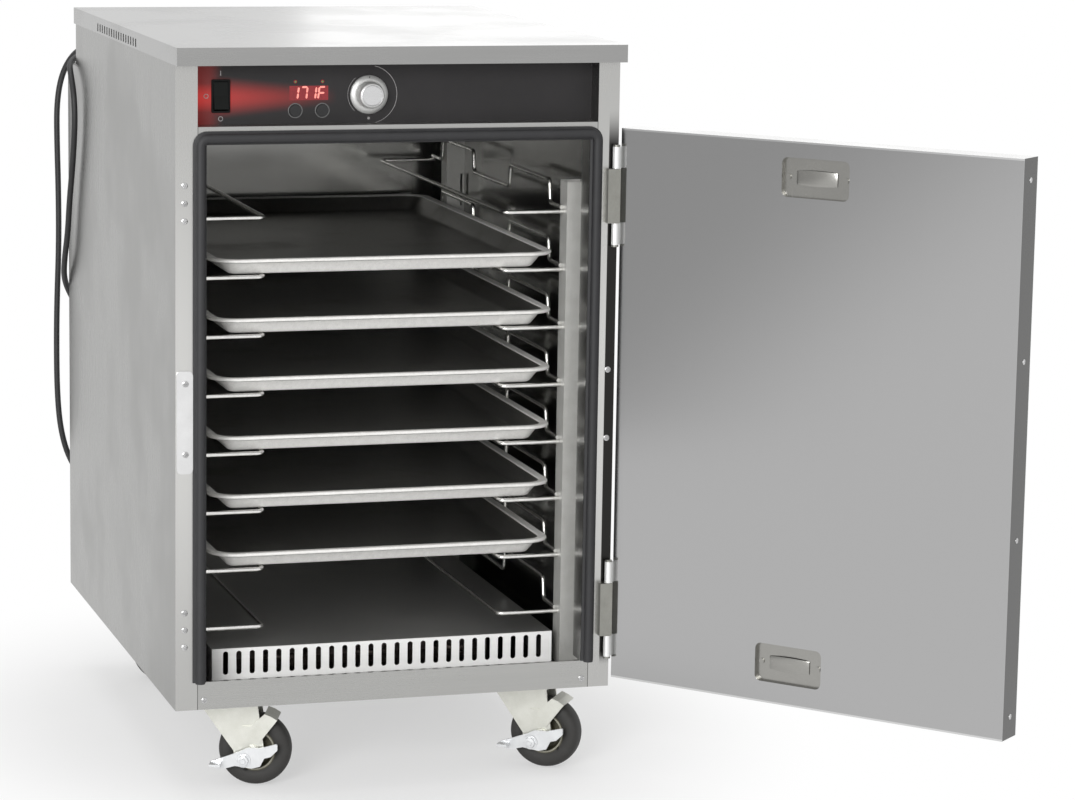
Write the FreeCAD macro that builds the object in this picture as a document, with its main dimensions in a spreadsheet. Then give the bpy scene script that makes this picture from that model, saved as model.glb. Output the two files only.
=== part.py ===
"""Heated holding cabinet on four swivel castors, with six sheet pans on wire slides.

Millimetres, +Z up, the front towards -Y. The origin is on the floor under the middle of the body.
Pieces are drawn with y counted from the front face of the posts, and each finished node is then
placed in the frame. The door is drawn shut and turned open about its hinge pins.
"""
import FreeCAD, Part
import math
import os
import re

import Sketcher

Vector = FreeCAD.Vector

SIZES = {
    # Body skins
    "body_width": 578.0,
    "body_depth": 766.0,
    "base_height": 122.0,
    "ledge_step": 18.0,
    "cabinet_height": 966.0,
    "ledge_depth": 66.0,
    "skin": 1.2,
    "post_width": 28.0,
    "post_return": 30.0,
    "rail_height": 36.0,
    "rail_depth": 30.0,
    "rail_lip": 6.0,
    # Top cover
    "cover_side_overhang": 2.6,
    "cover_front_overhang": 22.2,
    "cover_skirt": 22.5,
    "vent_slot_count": 17,
    "vent_slot_pitch": 16.9,
    "vent_slot_width": 7.0,
    "vent_slot_height": 10.5,
    "vent_slot_start": 240.0,
    "vent_slot_rise": 3.0,
    # Cavity
    "liner": 1.0,
    "side_wall": 23.0,
    "rear_wall": 28.0,
    "floor_wall": 18.0,
    "ceiling_rise": 5.0,
    "trim_width": 11.0,
    "trim_tongue": 2.0,
    # Gasket
    "gasket_width": 17.0,
    "gasket_top": 13.5,
    "gasket_thick": 13.5,
    "gasket_corner": 9.0,
    # Control module
    "fascia_height": 98.8,
    "fascia_thick": 2.0,
    "bay_depth": 110.0,
    "header_height": 19.0,
    "control_rise": 35.5,
    "rocker_inset": 35.4,
    "rocker_width": 18.0,
    "rocker_height": 34.0,
    "rocker_angle": 9.0,
    "rocker_swing_room": 1.4,
    "rocker_crest": 4.5,
    "rocker_valley": 2.5,
    "rocker_deep": 6.0,
    "rocker_keel": 6.0,
    "rocker_pin": 1.2,
    "rocker_side_room": 0.4,
    "bezel_rim": 2.6,
    "bezel_wall": 1.5,
    "bezel_corner": 2.0,
    "bezel_proud": 2.0,
    "bezel_depth": 22.0,
    "display_inset": 148.5,
    "display_width": 50.0,
    "display_height": 18.0,
    "display_rise": 2.7,
    "display_deep": 10.0,
    "lamp_spread": 17.5,
    "lamp_rise": 17.0,
    "lamp_radius": 2.2,
    "lamp_proud": 0.8,
    "button_spread": 17.4,
    "button_drop": 19.4,
    "button_radius": 7.5,
    "button_room": 0.4,
    "button_proud": 1.4,
    "button_travel": 0.6,
    "button_deep": 3.0,
    "button_collar": 9.5,
    "button_collar_thick": 1.2,
    "knob_inset": 226.2,
    "knob_skirt_radius": 24.5,
    "knob_skirt_thick": 3.0,
    "knob_base_radius": 17.5,
    "knob_face_radius": 15.5,
    "knob_length": 19.0,
    "knob_gap": 0.3,
    "pointer_width": 2.5,
    "pointer_thick": 1.0,
    "shaft_radius": 3.0,
    "shaft_room": 0.05,
    "board_gap": 16.0,
    "board_thick": 1.6,
    "board_width": 190.0,
    "board_height": 62.0,
    "standoff_radius": 3.0,
    "board_shift": 22.5,
    "standoff_inset": 7.0,
    "encoder_radius": 9.0,
    "encoder_length": 8.0,
    "switch_radius": 2.5,
    "relay_size": 20.0,
    "relay_shift": 34.0,
    # Tray slides
    "upright_depth": 26.0,
    "upright_breadth": 30.0,
    "upright_sheet": 1.5,
    "upright_rise": 40.0,
    "front_upright": 60.0,
    "upright_back_gap": 70.0,
    "keyhole_width": 3.0,
    "keyhole_height": 46.0,
    "keyhole_drop": 77.0,
    "slide_count": 8,
    "slide_floor_gap": 68.6,
    "slide_drop": 110.0,
    "wire": 5.5,
    "slide_front": 75.0,
    "slide_back_gap": 33.0,
    "slide_reach": 84.2,
    "runner_bend": 9.0,
    "guide_rise": 30.0,
    "guide_first_step": 52.0,
    "guide_crest": 183.0,
    "guide_dip": 179.0,
    "guide_last_step": 53.0,
    "guide_bend": 7.0,
    "guide_slope": 6.0,
    # Sheet pans
    "pan_count": 6,
    "pan_first_level": 1,
    "pan_side_gap": 5.9,
    "pan_back_gap": 19.6,
    "pan_height": 22.0,
    "pan_sheet": 1.6,
    "pan_lip": 9.0,
    "pan_lip_height": 5.0,
    "pan_flare": 14.0,
    "pan_corner": 14.0,
    "pan_front": 58.0,
    "pan_seat": 0.3,
    # Heat cover, element and probe
    "hood_side_gap": 37.0,
    "hood_front": 60.0,
    "hood_height": 45.0,
    "hood_sheet": 1.2,
    "slot_margin": 17.0,
    "slot_pitch": 17.6,
    "slot_width": 7.0,
    "slot_height": 31.0,
    "slot_drop": 3.5,
    "slot_round": 3.4,
    "element_radius": 4.0,
    "element_height": 18.0,
    "element_pass": 60.0,
    "element_start": 110.0,
    "element_back_gap": 98.0,
    "element_passes": 6,
    "element_bar": 3.0,
    "bar_end_gap": 54.0,
    "bar_inset": 70.0,
    "probe_radius": 3.0,
    "probe_length": 46.0,
    "probe_drop": 47.0,
    "probe_flange": 12.0,
    "probe_flange_thick": 2.0,
    # Door
    "door_side_gap": 7.3,
    "door_top_lap": 11.0,
    "door_bottom_lap": 23.5,
    "door_thick": 39.5,
    "door_gap": 13.8,
    "door_open_angle": 131.0,
    "pin_inset": 4.7,
    "pin_stand": 6.1,
    "pin_radius": 2.5,
    "pin_room": 0.05,
    "knuckle_radius": 4.75,
    "knuckle_middle": 70.0,
    "knuckle_end": 28.0,
    "knuckle_gap": 0.4,
    "leaf_thick": 2.0,
    "leaf_width": 16.5,
    "door_leaf_thick": 1.5,
    "door_leaf_width": 31.0,
    "upper_hinge_drop": 87.0,
    "lower_hinge_rise": 92.5,
    "handle_length": 152.0,
    "handle_height": 484.0,
    "handle_stand": 40.0,
    "handle_bar": 13.0,
    "handle_foot": 20.0,
    "handle_width": 17.0,
    "handle_inset": 26.0,
    "handle_round": 8.0,
    "magnet_length": 100.0,
    "magnet_width": 14.0,
    "magnet_thick": 8.0,
    # Door vents
    "vent_width": 95.0,
    "vent_height": 50.0,
    "vent_recess": 6.2,
    "vent_sheet": 1.0,
    "vent_corner": 8.0,
    "upper_vent_shift": 0.5,
    "lower_vent_shift": 20.0,
    "upper_vent_drop": 45.5,
    "lower_vent_rise": 52.5,
    "passage_start": 6.0,
    "passage_width": 20.0,
    "passage_height": 11.0,
    "damper_length": 57.0,
    "damper_height": 20.0,
    "damper_thick": 1.2,
    "damper_gap": 0.4,
    "rivet_radius": 2.0,
    "rivet_room": 0.1,
    "rivet_head": 3.8,
    "rivet_head_thick": 1.4,
    "vent_screw_spread": 40.5,
    # Fasteners
    "screw_radius": 4.0,
    "screw_head": 1.8,
    "edge_screw_radius": 3.5,
    "edge_screw_head": 1.0,
    "edge_screw_count": 4,
    "edge_screw_inset": 27.5,
    "edge_screw_in": 21.0,
    "plug_inset": 9.0,
    "post_screw_inset": 11.4,
    "post_screw_pitch": 22.2,
    "strike_gap": 0.3,
    "strike_height": 131.0,
    "strike_thick": 3.0,
    "strike_rise": 10.5,
    "strike_screw_spread": 45.0,
    "strike_screw_rise": 4.5,
    "strike_screw_inset": 12.0,
    "strike_edge": 1.0,
    "strike_round": 6.0,
    "rivet_inset": 9.0,
    "rivet_height": 12.0,
    # Castors
    "castor_side_inset": 90.0,
    "castor_inset": 86.0,
    "castor_plate_x": 92.0,
    "castor_plate_y": 66.0,
    "castor_plate_thick": 3.0,
    "castor_bolt_x": 76.0,
    "castor_bolt_y": 46.0,
    "castor_bolt_radius": 4.0,
    "castor_bolt_head": 7.0,
    "castor_bolt_thick": 5.0,
    "castor_nut_thick": 5.0,
    "castor_bolt_spare": 2.0,
    "channel_height": 12.0,
    "channel_width": 70.0,
    "channel_sheet": 2.5,
    "race_radius": 26.0,
    "race_height": 8.7,
    "race_gap": 0.3,
    "kingpin_radius": 6.0,
    "kingpin_room": 0.1,
    "kingpin_head": 10.0,
    "kingpin_head_thick": 4.0,
    "fork_sheet": 3.0,
    "fork_top_length": 76.0,
    "fork_tip": 14.0,
    "fork_tip_flat": 8.0,
    "fork_heel": 26.0,
    "fork_room": 3.0,
    "trail": 33.0,
    "wheel_radius": 47.6,
    "tyre_width": 30.0,
    "tyre_shoulder": 7.0,
    "rim_radius": 28.0,
    "rim_width": 26.0,
    "rim_wall": 4.0,
    "web_thick": 6.0,
    "hub_radius": 11.0,
    "hub_room": 0.4,
    "axle_radius": 5.0,
    "axle_room": 0.05,
    "axle_head": 8.0,
    "axle_head_thick": 4.0,
    "front_left_angle": -20.0,
    "front_right_angle": -35.0,
    "rear_left_angle": -60.0,
    "rear_right_angle": -28.0,
    "lever_thick": 3.0,
    "lever_gap": 1.0,
    "pivot_back": 12.5,
    "pivot_drop": 10.0,
    "pivot_radius": 4.0,
    "pivot_room": 0.05,
    "pivot_head": 6.5,
    "pivot_head_thick": 2.5,
    "toe_reach": 55.0,
    "toe_drop": 13.0,
    "toe_depth": 9.0,
    "heel_reach": 32.0,
    "heel_rise": 13.0,
    "heel_depth": 9.0,
    "boss_half": 11.0,
    "belly_reach": 22.0,
    "lever_round": 2.0,
    "shoe_gap": 2.0,
    "shoe_thick": 3.0,
    "shoe_start_angle": 54.0,
    "shoe_sweep_angle": 20.0,
    "bracket_sheet": 2.0,
    "bracket_foot": 11.0,
    "bracket_half": 15.0,
    "bracket_waist": 7.0,
    "bracket_rise": 34.0,
    "pedal_depth": 15.0,
    "pedal_length": 14.0,
    # Power cord
    "cord_diameter": 8.5,
    "gland_inset": 31.0,
    "gland_rise": 30.0,
    "gland_radius": 10.0,
    "gland_tip_radius": 6.5,
    "gland_length": 26.0,
    "gland_flange": 14.0,
    "gland_flange_thick": 3.0,
    "gland_inside": 6.0,
    "plug_length": 48.0,
    "plug_width": 30.0,
    "plug_thick": 24.0,
    "plug_neck": 22.0,
    "plug_neck_radius": 7.5,
    "plug_round": 6.0,
    "blade_length": 17.0,
    "blade_height": 6.3,
    "blade_thick": 1.5,
    "blade_spread": 12.7,
    "earth_radius": 2.4,
    "earth_drop": 8.0,
    "blade_rise": 3.5,
}

# Places worked out from the sizes, as expressions that the pieces share
PLACES = {
    "half_width": "body_width / 2",
    "inner_half": "half_width - skin",
    "post_inner": "half_width - post_width",
    "cover_under": "cabinet_height - skin",
    "module_depth": "body_depth - ledge_depth",
    "rail_top": "base_height + rail_height",
    "cavity_half": "half_width - side_wall",
    "cavity_back": "body_depth - rear_wall",
    "cavity_floor": "base_height + floor_wall",
    "header_top": "cover_under - fascia_height",
    "header_bottom": "header_top - header_height",
    "box_top": "header_top + ledge_step",
    "cavity_ceiling": "header_bottom + ceiling_rise",
    "fascia_back": "post_return + fascia_thick",
    "throat_half": "post_inner - trim_width",
    "upright_face": "cavity_half - upright_depth",
    "slide_top": "cavity_ceiling - slide_drop",
    "slide_pitch": "(slide_top - cavity_floor - slide_floor_gap) / (slide_count - 1)",
    "slide_rear": "cavity_back - slide_back_gap",
    "upright_height": "slide_top + upright_rise - cavity_floor",
    "rear_upright": "cavity_back - upright_back_gap - upright_breadth",
    "guide_x": "upright_face - wire / 2",
    "runner_x": "upright_face - slide_reach + wire / 2",
    "pan_base": "wire / 2 + pan_seat",
    "pan_width": "2 * (guide_x - wire / 2 - pan_side_gap)",
    "pan_length": "cavity_back - pan_back_gap - pan_front",
    "pan_middle": "pan_front + pan_length / 2",
    "hood_half": "cavity_half - hood_side_gap",
    "element_end": "cavity_back - element_back_gap",
    "probe_height": "cavity_ceiling - probe_drop",
    "door_half": "half_width - door_side_gap",
    "door_bottom": "rail_top - door_bottom_lap",
    "door_top": "header_bottom + door_top_lap",
    "upper_hinge": "door_top - upper_hinge_drop",
    "lower_hinge": "door_bottom + lower_hinge_rise",
    "upper_vent": "door_top - upper_vent_drop",
    "lower_vent": "door_bottom + lower_vent_rise",
    "strike_middle": "handle_height + strike_rise",
    "door_back": "-door_gap",
    "door_front": "-door_gap - door_thick",
    "pin_x": "half_width - pin_inset",
    "pin_y": "-pin_stand",
    "panel_back": "door_back - skin",
    "vent_floor": "door_back - vent_recess",
    "damper_face": "vent_floor + damper_gap + damper_thick",
    "control_height": "header_top + control_rise",
    "rocker_x": "rocker_inset - post_inner",
    "display_x": "display_inset - post_inner",
    "knob_x": "knob_inset - post_inner",
    "board_x": "display_x + board_shift",
    "board_front": "fascia_back + board_gap",
    "well_half_x": "rocker_width / 2 + rocker_side_room",
    "well_half_z": "rocker_height / 2 + rocker_swing_room",
    "display_z": "control_height + display_rise",
    "lamp_z": "control_height + lamp_rise",
    "button_z": "control_height - button_drop",
    "castor_x": "half_width - castor_side_inset",
    "gland_x": "gland_inset - half_width",
    "gland_height": "box_top + gland_rise",
    "plate_under": "base_height - castor_plate_thick",
    "race_under": "plate_under - race_height",
    "fork_top": "race_under - race_gap",
    "leg_inner": "tyre_width / 2 + fork_room",
    "leg_outer": "leg_inner + fork_sheet",
    "lever_back": "leg_outer + axle_head_thick + lever_gap",
    "pivot_x": "trail - pivot_back",
    "pivot_z": "wheel_radius - pivot_drop",
}

doc = FreeCAD.newDocument("holding_cabinet")
sheet = doc.addObject("Spreadsheet::Sheet", "sizes")
for row, (alias, number) in enumerate(SIZES.items(), 1):
    sheet.set("A%d" % row, alias)
    sheet.set("B%d" % row, str(number))
    sheet.setAlias("B%d" % row, alias)
doc.recompute()

NODES = []


def size(alias):
    """The number that the sheet holds under an alias."""
    return float(sheet.get(alias))


def expand(text):
    """Turns the names of sizes and places in an expression into references to the sheet."""
    def swap(match):
        word = match.group(0)
        if word in PLACES:
            return "(" + expand(PLACES[word]) + ")"
        return "sizes." + word if word in SIZES else word
    return re.sub(r"[a-z_]+", swap, str(text))


def place_of(text):
    """The number that an expression of sizes and places comes to, worked out in the sheet's own way."""
    return float(sheet.evalExpression(expand(text)))


def bind(piece, **expressions):
    """Ties properties to expressions; two underscores in a name stand for a dot."""
    for name, text in expressions.items():
        piece.setExpression(name.replace("__", "."), expand(text))
    return piece


def put(piece, x="0", y="0", z="0"):
    """Ties a piece's place to expressions."""
    return bind(piece, Placement__Base__x=x, Placement__Base__y=y, Placement__Base__z=z)


def block(x, y, z):
    """A box between two planes along each axis, each pair given as (low, high) expressions."""
    piece = doc.addObject("Part::Box", "block")
    bind(
        piece,
        Length="(%s) - (%s)" % (x[1], x[0]),
        Width="(%s) - (%s)" % (y[1], y[0]),
        Height="(%s) - (%s)" % (z[1], z[0]),
    )
    return put(piece, x[0], y[0], z[0])


def across(half):
    """The pair of planes at plus and minus a half width."""
    return ("-(%s)" % half, half)


TURNS = {
    "x": FreeCAD.Rotation(Vector(0, 1, 0), 90),
    "y": FreeCAD.Rotation(Vector(1, 0, 0), -90),
    "z": FreeCAD.Rotation(),
}


def rod(axis, radius, span, x="0", y="0", z="0"):
    """A cylinder along an axis, between the two planes of span; the other places are its centre."""
    piece = doc.addObject("Part::Cylinder", "rod")
    piece.Placement = FreeCAD.Placement(Vector(), TURNS[axis])
    bind(piece, Radius=radius, Height="(%s) - (%s)" % (span[1], span[0]))
    place = {"x": x, "y": y, "z": z}
    place[axis] = span[0]
    return put(piece, **place)


def taper(axis, radii, span, x="0", y="0", z="0"):
    """A cone along an axis, with its radius at the start and at the end of span."""
    piece = doc.addObject("Part::Cone", "taper")
    piece.Placement = FreeCAD.Placement(Vector(), TURNS[axis])
    bind(piece, Radius1=radii[0], Radius2=radii[1], Height="(%s) - (%s)" % (span[1], span[0]))
    place = {"x": x, "y": y, "z": z}
    place[axis] = span[0]
    return put(piece, **place)


def fuse(*pieces):
    """One solid of several."""
    piece = doc.addObject("Part::MultiFuse", "fused")
    piece.Shapes = list(pieces)
    piece.Refine = True
    return piece


def group(*pieces):
    """Several solids kept apart."""
    piece = doc.addObject("Part::Compound", "group")
    piece.Links = list(pieces)
    return piece


def cut(base, *tools):
    """A solid less one or more others."""
    piece = doc.addObject("Part::Cut", "cut")
    piece.Base = base
    piece.Tool = tools[0] if len(tools) == 1 else group(*tools)
    return piece


def mirrored(source):
    """The piece's twin on the other side of the middle plane."""
    piece = doc.addObject("Part::Mirroring", "twin")
    piece.Source = source
    piece.Base = Vector(0, 0, 0)
    piece.Normal = Vector(1, 0, 0)
    return piece


def copy_at(source, x="0", y="0", z="0", turn=None):
    """The same piece again at another place, turned about the upright axis if asked."""
    piece = put(group(source), x, y, z)
    if turn:
        bind(piece, Placement__Rotation__Angle=turn)
    return piece


def outline(body, plane, points):
    """A closed sketch of straight lines on one of a body's own planes, each corner tied to the sheet."""
    sketch = body.newObject("Sketcher::SketchObject", "outline")
    support = [item for item in body.Origin.OriginFeatures if item.Role == plane][0]
    sketch.AttachmentSupport = [(support, "")]
    sketch.MapMode = "FlatFace"
    count = len(points)
    rough = [Vector(math.cos(math.tau * k / count), math.sin(math.tau * k / count), 0) for k in range(count)]
    for k in range(count):
        sketch.addGeometry(Part.LineSegment(rough[k], rough[(k + 1) % count]))
    for k in range(count):
        sketch.addConstraint(Sketcher.Constraint("Coincident", k, 2, (k + 1) % count, 1))
    for k, corner in enumerate(points):
        for kind, start, text in zip(("DistanceX", "DistanceY"), (rough[k].x, rough[k].y), corner):
            index = sketch.addConstraint(Sketcher.Constraint(kind, k, 1, start))
            sketch.setExpression("Constraints[%d]" % index, expand(text))
    return sketch


def extruded(plane, points, length, middle=False, backwards=False):
    """A body padded from an outline."""
    body = doc.addObject("PartDesign::Body", "body")
    pad = body.newObject("PartDesign::Pad", "pad")
    pad.Profile = outline(body, plane, points)
    pad.Midplane = middle
    pad.Reversed = backwards
    bind(pad, Length=length)
    return body


def turned(points):
    """A body turned about the upright axis from an outline of radii and heights."""
    body = doc.addObject("PartDesign::Body", "turned")
    spin = body.newObject("PartDesign::Revolution", "spin")
    sketch = outline(body, "XZ_Plane", points)
    spin.Profile = sketch
    spin.ReferenceAxis = (sketch, ["V_Axis"])
    return body


def rounded(body, radius, wanted):
    """Rounds the edges of a body that a test picks, tied to a size."""
    doc.recompute()
    base = body.Tip
    names = ["Edge%d" % (k + 1) for k, edge in enumerate(base.Shape.Edges) if wanted(edge)]
    fillet = body.newObject("PartDesign::Fillet", "fillet")
    fillet.Base = (base, names)
    bind(fillet, Radius=radius)
    return body


def leaned(body, angle):
    """Leans a body's upright faces outwards from its flat bottom, tied to an angle."""
    doc.recompute()
    base = body.Tip
    flat = 1e-6
    upright = ["Face%d" % (k + 1) for k, face in enumerate(base.Shape.Faces) if face.BoundBox.ZLength > flat]
    bottom = ["Face%d" % (k + 1) for k, face in enumerate(base.Shape.Faces) if face.BoundBox.ZMax < flat]
    lean = body.newObject("PartDesign::Draft", "lean")
    lean.Base = (base, upright)
    lean.NeutralPlane = (base, bottom)
    lean.Reversed = True
    bind(lean, Angle=angle)
    return body


def runs_along(edge, axis):
    """Whether an edge is straight and parallel to an axis."""
    if not isinstance(edge.Curve, Part.Line):
        return False
    return abs(abs(edge.Curve.Direction.dot(axis)) - 1) < 1e-6


def node(label, *pieces, x="0", y="0", z="0", turn=None):
    """A finished node of the cabinet: its solids, placed in the frame."""
    piece = group(*pieces)
    piece.Label = label
    put(piece, x, "(%s) - body_depth / 2" % y, z)
    if turn:
        bind(piece, Placement__Rotation__Angle=turn)
    NODES.append(piece)
    return piece


def door_node(label, *pieces):
    """A finished node of the door: drawn shut, then turned open about the hinge pins."""
    return node(
        label,
        *pieces,
        x="pin_x - pin_x * cos(door_open_angle) + pin_y * sin(door_open_angle)",
        y="pin_y - pin_x * sin(door_open_angle) - pin_y * cos(door_open_angle)",
        turn="door_open_angle",
    )


def shape_node(label, shape):
    """A finished node whose shape is swept along a path, drawn in the cabinet's place."""
    piece = doc.addObject("Part::Feature", label)
    piece.Shape = shape
    piece.Label = label
    put(piece, "0", "-body_depth / 2", "0")
    NODES.append(piece)
    return piece


def side_panels():
    """Left and right outer skins, each folded round into its front post, slotted under the cover."""
    skin = extruded(
        "XY_Plane",
        [
            ("half_width", "0"),
            ("half_width", "body_depth"),
            ("inner_half", "body_depth"),
            ("inner_half", "skin"),
            ("post_inner + skin", "skin"),
            ("post_inner + skin", "post_return"),
            ("post_inner", "post_return"),
            ("post_inner", "0"),
        ],
        "cover_under - base_height",
    )
    raised = copy_at(skin, z="base_height")
    notch = block(("half_width - 2 * skin", "half_width + skin"), ("module_depth", "body_depth + skin"),
                  ("box_top", "cabinet_height"))
    right = cut(raised, notch, *vent_slots("half_width - 2 * skin", "half_width + skin"))
    node("side_panel_right", right)
    node("side_panel_left", mirrored(right))


def vent_slots(inner, outer):
    """The row of cooling slots that the skirt and the side panel share."""
    slots = []
    for k in range(int(size("vent_slot_count"))):
        start = "vent_slot_start + %d * vent_slot_pitch" % k
        low = "cabinet_height - cover_skirt + vent_slot_rise"
        slots.append(block((inner, outer), (start, start + " + vent_slot_width"),
                           (low, low + " + vent_slot_height")))
    return slots


def outer_skins():
    """Rear and bottom skins, front rail, control module's deck and the top cover."""
    node(
        "rear_panel",
        block(across("inner_half"), ("body_depth - skin", "body_depth"), ("base_height", "box_top")),
    )
    floor = block(
        across("inner_half"), ("rail_depth", "body_depth - skin"), ("base_height", "base_height + skin")
    )
    node("bottom_panel", cut(floor, *castor_holes()))
    fold = [
        ("0", "base_height"),
        ("0", "rail_top"),
        ("rail_lip", "rail_top"),
        ("rail_lip", "cavity_floor"),
        ("rail_depth", "cavity_floor"),
        ("rail_depth", "cavity_floor - skin"),
        ("rail_lip - skin", "cavity_floor - skin"),
        ("rail_lip - skin", "rail_top - skin"),
        ("skin", "rail_top - skin"),
        ("skin", "base_height + skin"),
        ("rail_depth", "base_height + skin"),
        ("rail_depth", "base_height"),
    ]
    node("bottom_rail", extruded("YZ_Plane", fold, "2 * post_inner", middle=True))
    header = block(across("post_inner"), ("0", "fascia_back"), ("header_bottom", "header_top"))
    hollow = block(across("post_inner + skin"), ("skin", "fascia_back + skin"),
                   ("header_bottom + skin", "header_top - skin"))
    node("header_rail", cut(header, hollow))
    deck = block(across("inner_half"), ("bay_depth", "body_depth - skin"), ("box_top - skin", "box_top"))
    bay = block(
        across("cavity_half + liner"), ("fascia_back", "bay_depth"), ("header_top - skin", "header_top")
    )
    riser = block(
        across("cavity_half + liner"), ("bay_depth - skin", "bay_depth"), ("header_top - skin", "box_top")
    )
    wall = block(
        across("inner_half"), ("module_depth - skin", "module_depth"), ("box_top - skin", "cover_under")
    )
    hole = rod(
        "y",
        "gland_radius",
        ("module_depth - 2 * skin", "module_depth + skin"),
        x="gland_x",
        z="gland_height",
    )
    node("module_deck", cut(fuse(deck, bay, riser, wall), hole))
    shell = block(
        across("half_width + cover_side_overhang"),
        ("-cover_front_overhang", "module_depth + skin"),
        ("cabinet_height - cover_skirt", "cabinet_height"),
    )
    under = block(
        across("half_width + cover_side_overhang - skin"),
        ("skin - cover_front_overhang", "module_depth"),
        ("cabinet_height - cover_skirt - skin", "cover_under"),
    )
    edge = "half_width + cover_side_overhang"
    slots = vent_slots(edge + " - 2 * skin", edge + " + skin") + vent_slots(
        "-(%s) - skin" % edge, "2 * skin - (%s)" % edge
    )
    node("top_cover", cut(shell, under, *slots))


def cavity():
    """Bright inner liner as flat sheets, the insulation behind it, and the trim round the throat."""
    side = block(("cavity_half", "cavity_half + liner"), ("fascia_back", "cavity_back + liner"),
                 ("cavity_floor - liner", "cavity_ceiling + liner"))
    rear = block(across("cavity_half"), ("cavity_back", "cavity_back + liner"),
                 ("cavity_floor - liner", "cavity_ceiling + liner"))
    ceiling = block(
        across("cavity_half"),
        ("fascia_back", "cavity_back"),
        ("cavity_ceiling", "cavity_ceiling + liner"),
    )
    floor = block(
        across("cavity_half"), ("rail_depth", "cavity_back"), ("cavity_floor - liner", "cavity_floor")
    )
    node("cavity_liner", side, mirrored(side), rear, ceiling, floor)
    side_fill = block(("cavity_half + liner", "inner_half"), ("fascia_back", "body_depth - skin"),
                      ("base_height + skin + channel_height", "box_top - skin"))
    rear_fill = block(across("cavity_half + liner"), ("cavity_back + liner", "body_depth - skin"),
                      ("base_height + skin + channel_height", "box_top - skin"))
    top_fill = block(across("cavity_half + liner"), ("bay_depth", "cavity_back + liner"),
                     ("cavity_ceiling + liner", "box_top - skin"))
    front_fill = block(across("cavity_half + liner"), ("fascia_back", "bay_depth"),
                       ("cavity_ceiling + liner", "header_top - skin"))
    floor_fill = block(across("cavity_half + liner"), ("rail_depth", "cavity_back + liner"),
                       ("base_height + skin + channel_height", "cavity_floor - liner"))
    node("wall_insulation", side_fill, mirrored(side_fill), rear_fill, top_fill, front_fill, floor_fill)
    bar = block(("throat_half", "post_inner"), ("0", "fascia_back"), ("rail_top", "header_bottom"))
    tongue = block(("post_inner", "cavity_half"), ("post_return", "post_return + trim_tongue"),
                   ("rail_top", "header_bottom"))
    trim = fuse(bar, tongue)
    node("throat_trim", trim, mirrored(trim))


def gasket():
    """Dark bulb seal on the face of the cabinet, up both sides and across the top."""
    outer = "throat_half + gasket_width"
    crown = "header_bottom + gasket_top"
    body = extruded(
        "XZ_Plane",
        [
            ("-(%s)" % outer, "rail_top"),
            ("-(%s)" % outer, crown),
            (outer, crown),
            (outer, "rail_top"),
            ("throat_half", "rail_top"),
            ("throat_half", "header_bottom"),
            ("-throat_half", "header_bottom"),
            ("-throat_half", "rail_top"),
        ],
        "gasket_thick",
    )
    doc.recompute()
    top = body.Shape.BoundBox.ZMax
    rounded(body, "gasket_corner",
            lambda edge: runs_along(edge, Vector(0, 1, 0)) and abs(edge.CenterOfMass.z - top) < 1e-6)
    node("door_gasket", body)


def plate(x, y, z, radius):
    """An upright plate facing the front, with its four corners rounded."""
    body = extruded("XZ_Plane", [(x[0], z[0]), (x[1], z[0]), (x[1], z[1]), (x[0], z[1])],
                    "(%s) - (%s)" % (y[1], y[0]))
    rounded(body, radius, lambda edge: runs_along(edge, Vector(0, 1, 0)))
    return copy_at(body, y=y[1])


def about(middle, half):
    """The pair of planes at either side of a middle."""
    return ("(%s) - (%s)" % (middle, half), "(%s) + (%s)" % (middle, half))


def fascia():
    """Dark control panel in the recess, with its window and holes."""
    panel = block(across("post_inner"), ("post_return", "fascia_back"), ("header_top", "cover_under"))
    through = ("post_return - skin", "fascia_back + skin")
    rocker_hole = block(about("rocker_x", "well_half_x + bezel_wall"), through,
                        about("control_height", "well_half_z + bezel_wall"))
    window = block(about("display_x", "display_width / 2"), through, about("display_z", "display_height / 2"))
    holes = [rod("y", "shaft_radius + knob_gap", through, x="knob_x", z="control_height")]
    for sign in "+-":
        holes.append(rod("y", "lamp_radius", through, x="display_x %s lamp_spread" % sign, z="lamp_z"))
        holes.append(rod("y", "button_radius + button_room", through,
                         x="display_x %s button_spread" % sign, z="button_z"))
    node("control_fascia", cut(panel, rocker_hole, window, *holes))


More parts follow.
